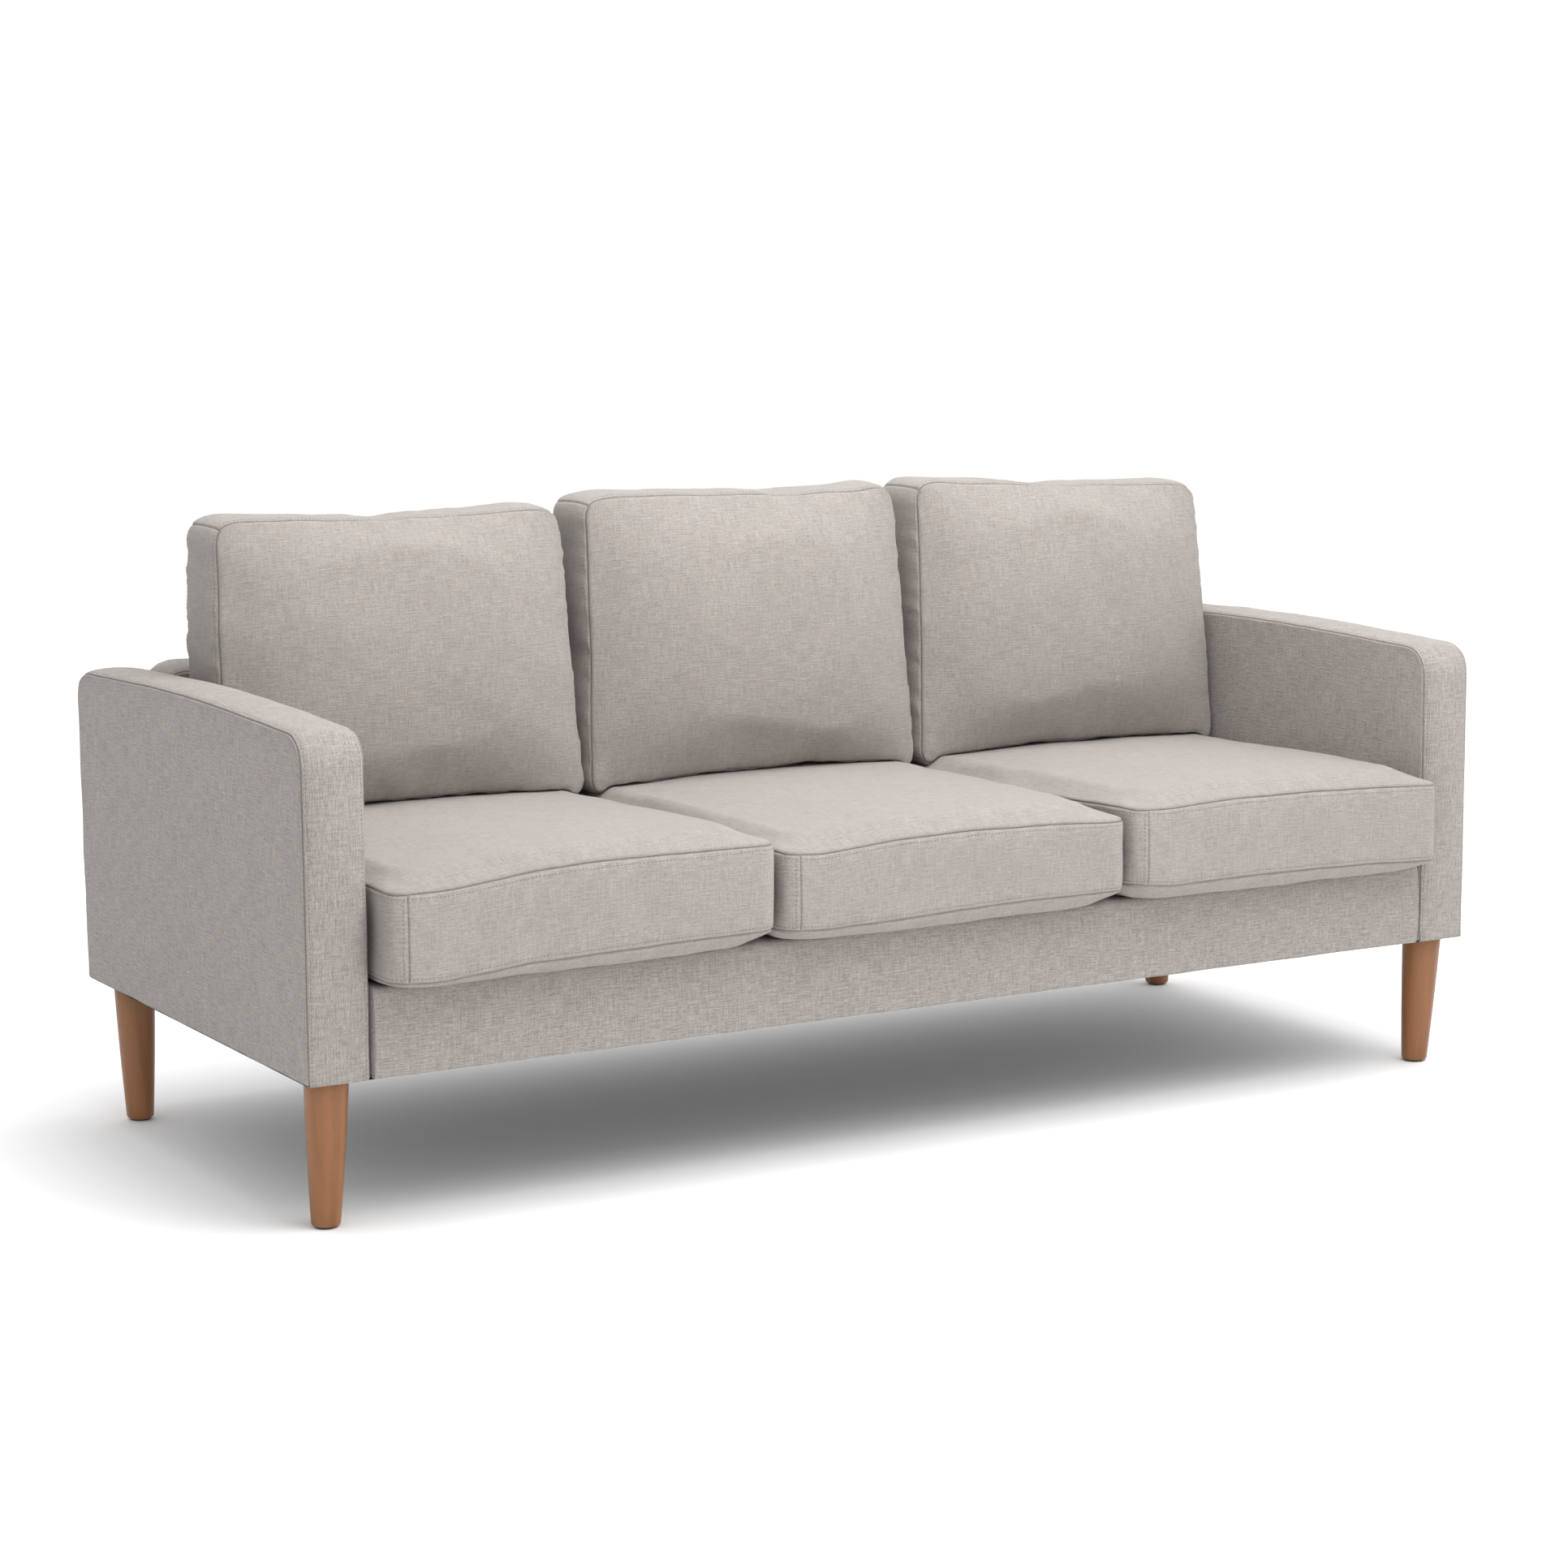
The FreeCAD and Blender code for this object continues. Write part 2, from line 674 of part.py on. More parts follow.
# ---------------------------------------------------------------- legs
def leg(name, offset):
    """A turned leg whose foot stands a little further in than its top, bored for its bolt."""
    body = doc.addObject("PartDesign::Body", name)
    foot_low = dim["glide_height"]
    foot_high = foot_low + dim["leg_foot_round"]
    sections = [
        circle_sketch(body, f"{name}Sole", "XY_Plane", 0, offset,
                      dim["leg_foot_radius"] - dim["leg_foot_round"], foot_low),
        circle_sketch(body, f"{name}Foot", "XY_Plane", 0, offset, dim["leg_foot_radius"], foot_high),
        circle_sketch(body, f"{name}Top", "XY_Plane", 0, 0, dim["leg_top_radius"], frame_low),
    ]
    doc.recompute()
    loft = body.newObject("PartDesign::AdditiveLoft", f"{name}Loft")
    loft.Profile = sections[0]
    loft.Sections = sections[1:]
    loft.Ruled = True
    doc.recompute()
    bore_sketch = circle_sketch(body, f"{name}BoreCircle", "XY_Plane", 0, 0, dim["bolt_radius"], frame_low)
    bore = body.newObject("PartDesign::Pocket", f"{name}Bore")
    bore.Profile = bore_sketch
    bind(bore, "Length", dim["hanger_in_leg"])
    doc.recompute()
    if bore.Shape.Volume >= loft.Shape.Volume:
        raise RuntimeError(f"{name}: the bore cuts nothing")
    return body


def make_legs():
    """Four legs, each with a hanger bolt, a threaded insert in the arm's rail and a glide."""
    bolts, inserts, glides = [], [], []
    for name, y, offset in (("front", leg_places[0], dim["leg_offset"]),
                            ("rear", leg_places[1], -dim["leg_offset"])):
        right = leg(f"Leg{name.title()}", offset)
        place(right, leg_x, y)
        node(f"leg_{name}_right", right)
        node(f"leg_{name}_left", mirrored(right))
        for x in (-leg_x, leg_x):
            bolts.append(cylinder(x, y, frame_low - dim["hanger_in_leg"], dim["bolt_radius"],
                                  dim["hanger_in_leg"] + dim["hanger_in_rail"]))
            sleeve = cylinder(x, y, frame_low, dim["insert_radius"], dim["insert_length"])
            inserts.append(cut(sleeve, cylinder(x, y, frame_low, dim["bolt_radius"], dim["insert_length"])))
            glides.append(cylinder(x, y + offset, 0, dim["glide_radius"], dim["glide_height"]))
    node("leg_bolts", group(*bolts))
    node("leg_inserts", group(*inserts))
    node("leg_glides", group(*glides))


# ---------------------------------------------------------------- loose cushions
def seat_outline(inset):
    """A seat cushion from the side: crowned top, bowed front and an underside that lifts at both ends."""
    front, rear = dim["seat_front"] + inset, dim["seat_rear"] - inset
    low, high = dim["seat_lower_seam"] + inset, dim["seat_upper_seam"] - inset
    bottom = dim["seat_bottom"] + inset
    return [
        (dim["seat_front"] + dim["seat_front_rise"], bottom),
        (front, low, dim["seat_front_radius"]),
        (front, high, dim["seat_crown_radius"]),
        (rear, high),
        (rear, low),
        (dim["seat_rear"] - dim["seat_rear_rise"], bottom),
    ]


def pillow_outline(inset):
    """A back cushion from the side: it leans back, and its front, top and rear are crowned."""
    bottom, top = dim["pillow_bottom"] + inset, dim["pillow_top"] - inset
    rear_low = dim["pillow_rear_low"] - inset
    return [
        (dim["pillow_front_low"] + inset, bottom, dim["pillow_front_radius"]),
        (dim["pillow_front_high"] + inset, top, dim["pillow_top_radius"]),
        (dim["pillow_rear_high"] - inset, top, dim["pillow_rear_radius"]),
        (rear_low, dim["pillow_shoulder"]),
        (rear_low, bottom),
    ]


def make_cushion(name, x, outline_at, zip_face, zip_height):
    """A filling, a cover with its zip sewn in, and the zip's slider at its closed end."""
    half = dim["cushion_width"] / 2
    title = name.title().replace("_", "")
    filling = side_profile(f"{title}Filling", outline_at(cloth), x - half + cloth, x + half - cloth)
    outside = side_profile(f"{title}Outside", outline_at(no_inset), x - half, x + half)
    zip_half, zip_rear = dim["zip_length"] / 2, zip_face + dim["zip_thickness"]
    tape = box((x - zip_half, x + zip_half), (zip_face, zip_rear),
               (zip_height - dim["zip_width"] / 2, zip_height + dim["zip_width"] / 2))
    node(f"{name}_filling", filling)
    node(f"{name}_cover", fuse(cut(outside, filling), tape))

    slider_x = x - zip_half + dim["slider_width"]
    slider_front = zip_rear + dim["zip_gap"]
    slider_rear = slider_front + dim["slider_thickness"]
    body = box((slider_x - dim["slider_width"] / 2, slider_x + dim["slider_width"] / 2),
               (slider_front, slider_rear),
               (zip_height - dim["slider_height"] / 2, zip_height + dim["slider_height"] / 2))
    tab_top = zip_height + dim["slider_tab_width"] / 2
    tab = box((slider_x - dim["slider_tab_width"] / 2, slider_x + dim["slider_tab_width"] / 2),
              (slider_rear, slider_rear + dim["slider_tab_thickness"]),
              (tab_top - dim["slider_tab"], tab_top))
    node(f"{name}_zip_slider", fuse(body, tab))


def make_cushions():
    for side, steps in (("left", -1), ("middle", 0), ("right", 1)):
        x = dim["cushion_pitch"] * steps
        make_cushion(f"seat_cushion_{side}", x, seat_outline, dim["seat_rear"], dim["seat_zip_height"])
        make_cushion(f"back_cushion_{side}", x, pillow_outline, dim["pillow_rear_low"],
                     dim["pillow_zip_height"])


# ---------------------------------------------------------------- build, check and write
for name, piece in right_arm().items():
    node(f"arm_right_{name}", piece)
    node(f"arm_left_{name}", mirrored(piece))
make_base()
make_springs()
make_deck()
make_back()
make_fasteners()
make_legs()
make_cushions()
doc.recompute()

faults = [obj.Name for obj in doc.Objects if "Invalid" in obj.State or "Error" in obj.State]
faults += [obj.Label for obj in nodes
           if obj.Shape.isNull() or not obj.Shape.isValid() or not obj.Shape.Solids]
if faults:
    raise RuntimeError(f"failed objects: {faults}")

for obj in nodes:
    obj.Shape.exportStep(f"parts/{obj.Label}.step")
print(f"{len(nodes)} nodes written")
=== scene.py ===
"""The looks of the three-seat sofa: six loose cushions, padded arms and back, four turned legs.

Lengths are metres in the row frame: +Z up, the front faces -Y, +X is to the right from the front.
A padded form is a slab: a low and a high panel with a strip sewn all round between them.
"""
import json
import math
import bpy
import numpy as np
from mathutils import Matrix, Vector
from mathutils.bvhtree import BVHTree


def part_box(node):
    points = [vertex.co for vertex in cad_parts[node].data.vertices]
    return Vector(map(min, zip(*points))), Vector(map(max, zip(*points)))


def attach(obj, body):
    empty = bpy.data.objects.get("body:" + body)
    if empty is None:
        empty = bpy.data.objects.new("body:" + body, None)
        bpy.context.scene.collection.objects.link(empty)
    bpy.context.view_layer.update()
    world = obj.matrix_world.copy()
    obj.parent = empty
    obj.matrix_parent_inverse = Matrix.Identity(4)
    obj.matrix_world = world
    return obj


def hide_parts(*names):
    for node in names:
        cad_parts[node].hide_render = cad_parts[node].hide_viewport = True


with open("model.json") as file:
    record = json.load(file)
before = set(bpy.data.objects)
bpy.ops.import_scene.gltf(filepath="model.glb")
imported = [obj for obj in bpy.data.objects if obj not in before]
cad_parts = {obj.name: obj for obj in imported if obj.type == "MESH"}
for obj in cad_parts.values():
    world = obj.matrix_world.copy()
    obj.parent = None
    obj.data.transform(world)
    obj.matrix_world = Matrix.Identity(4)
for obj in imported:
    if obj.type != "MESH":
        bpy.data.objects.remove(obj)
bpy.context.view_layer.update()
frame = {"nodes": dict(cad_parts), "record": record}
SIDES = ("left", "middle", "right")
LEGS = ("front_left", "front_right", "rear_left", "rear_right")
CELL = 0.014          # grid cell of the cushions while they are filled
STITCH_LINE = 0.0068  # a topstitch row's distance from its seam
GROOVE_WIDTH, CREASE_SHADE_WIDTH = 0.0017, 0.0012  # how far a seam draws the cloth in, and how far its painted shade reaches
CLEAR_OF_SEAM = 0.004  # puckers start about here
FRAME_LOW = 0.1972    # where the upholstery ends below
SEAM_STEPS = np.array([0, 0.0008, 0.0016, 0.0026, 0.0040, 0.0054, STITCH_LINE, 0.0082, 0.0104])


# ---------------- materials
class Look:
    """A procedural material while it is put together."""

    def __init__(self, name, flat=True):
        self.material = bpy.data.materials.new(name)
        self.material.use_nodes = True
        self.tree = self.material.node_tree
        self.tree.nodes.clear()
        self.shader = self.add("BsdfPrincipled")
        self.add("OutputMaterial", {"Surface": self.shader.outputs[0]})
        self.place = (self.add("UVMap", uv_map="cloth").outputs[0] if flat
                      else self.add("TexCoord").outputs["Object"])

    def add(self, kind, inputs=(), **settings):
        made = self.tree.nodes.new("ShaderNode" + kind)
        for key, value in settings.items():
            setattr(made, key, value)
        for key, value in dict(inputs).items():
            socket = made.inputs[key]
            if isinstance(value, bpy.types.NodeSocket):
                self.tree.links.new(value, socket)
            else:
                socket.default_value = value
        return made

    def calc(self, operation, a, b=0.0, c=0.0):
        return self.add("Math", {0: a, 1: b, 2: c}, operation=operation).outputs[0]

    def scaled(self, scale):
        return self.add("Mapping", {"Vector": self.place, "Scale": scale}).outputs[0]

    def noise(self, scale, detail=2.0, roughness=0.5):
        return self.add("TexNoise", {"Vector": self.scaled(scale), "Scale": 1.0, "Detail": detail,
                                     "Roughness": roughness}).outputs[0]

    def spread(self, value, to_low=0.0, to_high=1.0, low=0.3, high=0.7):
        return self.add("MapRange", {0: value, 1: low, 2: high, 3: to_low, 4: to_high}).outputs[0]

    def blend(self, share, a, b):
        return self.add("Mix", {0: share, 6: (*a, 1.0), 7: (*b, 1.0)}, data_type="RGBA").outputs[2]

    def finish(self, color, rough, height, depth, **sockets):
        """Fill the shader: linked colour, roughness and bump, and plain numbers for the rest."""
        bump = self.add("Bump", {"Height": height, "Distance": depth, "Strength": 1.0})
        for key, value in {"Base Color": color, "Roughness": rough, "Normal": bump.outputs[0]}.items():
            self.tree.links.new(value, self.shader.inputs[key])
        for key, value in sockets.items():
            self.shader.inputs[key.replace("_", " ")].default_value = value
        return self.material


def woven(name, warm, cool, pitch=0.0013, contrast=1.0, fuzz=0.35):
    """Slubbed plain weave: thick and thin threads both ways over soft mottling, with painted shade darkening
    the seams.
    """
    look = Look(name)
    across = look.noise((34, 560, 1), 2.0, 0.75)
    along = look.noise((560, 34, 1), 2.0, 0.75)
    short = look.noise((170, 700, 1), 1.0, 0.6)
    mottle = look.noise((16, 16, 1), 3.0, 0.6)
    patch = look.noise((55, 42, 1), 2.0, 0.55)
    split = look.add("SeparateXYZ", {0: look.place})
    threads = [look.calc("SINE", look.calc("MULTIPLY", split.outputs[i], 2 * math.pi / pitch))
               for i in (0, 1)]
    weave = look.calc("MULTIPLY", threads[0], threads[1])
    slub = look.calc("ADD", look.spread(across, -0.5, 0.5), look.spread(along, -0.38, 0.38))
    slub = look.calc("ADD", slub, look.spread(short, -0.36, 0.36))
    tone = look.calc("MULTIPLY_ADD", slub, 0.42 * contrast, 1.0)
    tone = look.calc("MULTIPLY_ADD", look.spread(mottle, -0.5, 0.5), 0.05 * contrast, tone)
    tone = look.calc("MULTIPLY_ADD", weave, 0.07 * contrast, tone)
    # painted shade: the colour darkens by up to 38% in the seams' creases
    painted_seam_shade = look.add("Attribute", attribute_name="crease_shade").outputs["Fac"]
    tone = look.calc("MULTIPLY", tone, look.spread(painted_seam_shade, 1.0, 0.62, 0.0, 1.0))
    tint = look.blend(look.spread(patch, low=0.35, high=0.65), warm, cool)
    color = look.add("VectorMath", {0: tint, "Scale": tone}, operation="SCALE").outputs[0]
    rough = look.spread(across, 0.82, 0.95)
    height = look.calc("MULTIPLY_ADD", slub, 0.6, look.calc("MULTIPLY", weave, 0.5))
    return look.finish(color, rough, height, 0.00045, Sheen_Weight=fuzz, Sheen_Roughness=0.5,
                       Specular_IOR_Level=0.25)


def grained(name, pale, dark, stretch=(22, 22, 1.6), rings=26.0, rough=(0.35, 0.5), depth=0.0002, coat=0.0):
    """Timber whose grain runs along Z, or along the axis with the small stretch."""
    look = Look(name, flat=False)
    wave = look.add("TexWave", {"Vector": look.scaled(stretch), "Scale": rings / 22, "Distortion": 5.0,
                                "Detail": 3.0, "Detail Scale": 1.4, "Detail Roughness": 0.65},
                    bands_direction="DIAGONAL").outputs["Fac"]
    fibre = look.noise(tuple(28 * s for s in stretch), 3.0, 0.65)
    cloud = look.noise(tuple(0.5 * s for s in stretch), 2.0)
    share = look.calc("MULTIPLY_ADD", fibre, 0.5, look.calc("MULTIPLY", wave, 0.45))
    share = look.calc("MULTIPLY_ADD", look.spread(cloud, -0.5, 0.5), 0.35, share)
    color = look.blend(look.spread(share, low=0.15, high=0.85), pale, dark)
    return look.finish(color, look.spread(fibre, *rough), share, depth,
                       Coat_Weight=coat, Coat_Roughness=0.25)


def speckled(name, pale, dark, scale, rough=(0.6, 0.8), depth=0.0003, metallic=0.0, bubbles=False):
    """Board, foam, plastic or metal: fine random specks in colour, roughness and bump."""
    look = Look(name, flat=False)
    specks = look.noise((scale, scale, scale), 4.0, 0.6)
    broad = look.noise((scale / 14,) * 3, 2.0)
    height = specks
    if bubbles:
        height = look.add("TexVoronoi", {"Vector": look.scaled((scale,) * 3), "Scale": 1.0}).outputs[0]
    share = look.calc("MULTIPLY_ADD", broad, 0.4, look.calc("MULTIPLY", height, 0.6))
    color = look.blend(look.spread(share, low=0.2, high=0.8), dark, pale)
    return look.finish(color, look.spread(specks, *rough), height, depth, Metallic=metallic)


WARM, COOL = (0.352, 0.316, 0.292), (0.333, 0.308, 0.286)
LINEN = woven("linen_weave", WARM, COOL, contrast=0.72, fuzz=0.2)
TIGHT_LINEN = woven("linen_weave_stretched", WARM, COOL, contrast=1.1, fuzz=0.2)
THREAD = speckled("sewing_thread", (0.21, 0.185, 0.165), (0.15, 0.13, 0.115), 2600, (0.6, 0.8), 0.0001)
LINING = woven("platform_lining", (0.26, 0.24, 0.215), (0.235, 0.22, 0.20), 0.0011, 0.6, 0.2)
UNDERCLOTH = woven("underside_cloth", (0.024, 0.023, 0.022), (0.034, 0.032, 0.030), 0.0018, 1.5, 0.1)
SLOT_LOOKS = {
    "leg_wood": grained("stained_beech", (0.262, 0.103, 0.028), (0.193, 0.070, 0.018), (26, 26, 2.2), 20,
                        (0.38, 0.5), 0.00012, 0.1),
    "carcass_timber": grained("pine_timber", (0.62, 0.43, 0.24), (0.46, 0.27, 0.12), (5, 14, 14), 22,
                              (0.6, 0.75)),
    "panel_board": speckled("fibre_board", (0.36, 0.23, 0.13), (0.24, 0.14, 0.075), 420),
    "foam": speckled("open_foam", (0.78, 0.72, 0.48), (0.62, 0.55, 0.32), 500, (0.85, 0.95), 0.0006,
                     bubbles=True),
    "fibre_fill": speckled("fibre_filling", (0.82, 0.82, 0.80), (0.66, 0.66, 0.64), 260, (0.9, 0.98), 0.0008),
    "spring_steel": speckled("spring_wire", (0.30, 0.29, 0.28), (0.16, 0.15, 0.15), 700, (0.35, 0.6), 0.0001,
                             0.9),
    "zinc_steel": speckled("zinc_plated_steel", (0.68, 0.68, 0.64), (0.50, 0.50, 0.46), 600, (0.25, 0.5),
                           0.0001, 1.0),
    "zip_metal": speckled("zip_metal", (0.50, 0.47, 0.43), (0.32, 0.30, 0.27), 900, (0.3, 0.5), 0.0001, 0.9),
    "glide_plastic": speckled("glide_plastic", (0.055, 0.050, 0.046), (0.030, 0.028, 0.026), 900,
                              (0.45, 0.6), 0.0001),
    "deck_lining": LINING, "underside_cloth": UNDERCLOTH, "cover_fabric": LINEN,
}
TAPE = woven("zip_tape", (0.29, 0.265, 0.245), (0.26, 0.245, 0.225), 0.0009, 0.5, 0.1)


# ---------------- grids and slabs
def spline(rows, at, closed=False):
    """Rows of a grid read at fractional places, on a smooth line through them."""
    count = len(rows)
    first = np.floor(at + 1e-9).astype(int)
    if closed:
        p = [rows[(first + step) % count] for step in (-1, 0, 1, 2)]
    else:
        first = np.clip(first, 0, count - 2)
        padded = np.concatenate([2 * rows[:1] - rows[1:2], rows, 2 * rows[-1:] - rows[-2:-1]])
        p = [padded[first + step] for step in (0, 1, 2, 3)]
    t = (at - first).reshape(-1, *[1] * (rows.ndim - 1))
    into, out = (p[2] - p[0]) / 2, (p[3] - p[1]) / 2
    gap = p[2] - p[1]
    return p[1] + t * (into + t * (3 * gap - 2 * into - out + t * (into + out - 2 * gap)))


def rim(grid):
    """A panel's edge as a ring, counter-clockwise from its first corner."""
    return np.concatenate([grid[0, :-1], grid[:-1, -1], grid[-1, :0:-1], grid[:0:-1, 0]])


def ring_sides(ring, wide, tall):
    """A rim's bottom, right, top and left, the last two in the same sense as their opposites."""
    left = np.concatenate([ring[2 * wide + tall:], ring[:1]])[::-1]
    return ring[:wide + 1], ring[wide:wide + tall + 1], ring[wide + tall:2 * wide + tall + 1][::-1], left


def all_round(u, v, wide, tall):
    """Places along the sides as one run round the rim of a panel of this width and height."""
    return np.concatenate([u[:-1], wide + v[:-1], 2 * wide + tall - u[:0:-1], 2 * (wide + tall) - v[:0:-1]])


def cells(grid, flip=False):
    """The four corners of every cell of a grid, whatever the grid holds."""
    corners = [grid[:-1, :-1], grid[:-1, 1:], grid[1:, 1:], grid[1:, :-1]]
    if flip:
        corners.reverse()
    return np.stack(corners, axis=2).reshape(-1, 4, *grid.shape[2:])


def closed(ring):
    return np.concatenate([ring, ring[:, :1]], axis=1)


def travelled(line):
    """The distance along a line at each of its points."""
    return np.concatenate([[0], np.cumsum(np.linalg.norm(np.diff(line, axis=0), axis=1))])


def read_along(values, run, at):
    """Values that belong to the distances in run, read at other distances."""
    return np.stack([np.interp(at, run, values[:, axis]) for axis in range(values.shape[1])], axis=1)


def grid_of(x, y, z):
    return np.stack(np.broadcast_arrays(x, y, z), axis=-1)


def unit(vectors):
    return vectors / np.linalg.norm(vectors, axis=-1, keepdims=True)


def places(length, spacing, lines=()):
    """Distances along a side: even, and close together next to its ends and to any seam line on it."""
    marks = [SEAM_STEPS, length - SEAM_STEPS]
    for line in lines:
        marks += [line + SEAM_STEPS, line - SEAM_STEPS]
    marks = np.unique(np.round(np.concatenate(marks), 5))
    marks = marks[(marks >= 0) & (marks <= length)]
    even = np.linspace(0, length, max(2, round(length / spacing)) + 1)
    free = np.abs(even[:, None] - marks).min(axis=1) > 0.4 * spacing
    return np.sort(np.concatenate([marks, even[free]]))


def quad_sides(corners, radii, counts):
    """The four sides of a plane shape with rounded corners, each from corner middle to corner middle.

    Corners run counter-clockwise from the low left. The sides come as bottom, right, top and left,
    the last two in the same sense as their opposites.
    """
    corners = [np.array(c, float) for c in corners]
    arcs = []
    for i, corner in enumerate(corners):
        before = corners[i - 1] - corner
        after = corners[(i + 1) % 4] - corner
        before, after = before / np.linalg.norm(before), after / np.linalg.norm(after)
        half = math.acos(float(before @ after)) / 2
        middle = (before + after) / np.linalg.norm(before + after)
        centre = corner + middle * radii[i] / math.sin(half)
        sweep = np.linspace(-1, 1, 33)[:, None] * (math.pi / 2 - half)
        side = np.array([-middle[1], middle[0]])
        side *= math.copysign(1, float(side @ after))
        arcs.append(centre + radii[i] * (-middle * np.cos(sweep) + side * np.sin(sweep)))
    sides = []
    for i in range(4):
        line = np.concatenate([arcs[i][16:], arcs[(i + 1) % 4][:17]])
        run = travelled(line)
        sides.append(read_along(line, run, np.linspace(0, run[-1], counts[i % 2] + 1)))
    return sides[0], sides[1], sides[2][::-1], sides[3][::-1]


def filled(bottom, right, top, left):
    """A grid that spans four sides, row by row from the bottom."""
    u = np.linspace(0, 1, len(bottom))[None, :, None]
    v = np.linspace(0, 1, len(left))[:, None, None]
    ruled = (1 - v) * bottom[None] + v * top[None] + (1 - u) * left[:, None] + u * right[:, None]
    corners = ((1 - u) * (1 - v) * bottom[0] + u * (1 - v) * bottom[-1]
               + (1 - u) * v * top[0] + u * v * top[-1])
    return ruled - corners


def rounded_panel(low_half, high_half, low, high, radii, counts):
    """A grid over a plane shape that is symmetric about 0, with corner radii below and above."""
    corners = [(-low_half, low), (low_half, low), (high_half, high), (-high_half, high)]
    return filled(*quad_sides(corners, (radii[0], radii[0], radii[1], radii[1]), counts))


def bulges(counts, *sides):
    """How far the strip bulges out at the bottom, right, top and left, as one run round the rim."""
    return np.concatenate([np.broadcast_to(side, count) for side, count in zip(sides, counts * 2)])


def hill(distance, width):
    """1 on a line, and next to nothing two widths away from it."""
    return np.exp(-(distance / width) ** 2)


def dome(shape, power=2.4):
    """1 in a panel's middle, 0 at its edge."""
    v, u = np.meshgrid(*[np.abs(np.linspace(-1, 1, count)) ** power for count in shape[:2]], indexing="ij")
    return (1 - u) * (1 - v)


def ripple(points, size, seed, waves=9):
    """Gentle random swell between -1 and 1 with about this wavelength."""
    rng = np.random.default_rng(seed)
    total = np.zeros(points.shape[:-1])
    for _ in range(waves):
        way = rng.normal(size=points.shape[-1])
        way *= 2 * math.pi / size / np.linalg.norm(way) * rng.uniform(0.6, 1.5)
        total += np.sin(points @ way + rng.uniform(0, 2 * math.pi))
    return total / math.sqrt(waves * 2)


def grid_normals(grid, ring=False):
    """Unit normals of a grid, columns crossed with rows."""
    wide = np.concatenate([grid[:, -1:], grid, grid[:, :1]], axis=1) if ring else grid
    across = np.gradient(wide, axis=1)[:, 1:-1] if ring else np.gradient(wide, axis=1)
    normal = np.cross(across, np.gradient(grid, axis=0))
    return normal / np.maximum(np.linalg.norm(normal, axis=-1, keepdims=True), 1e-12)


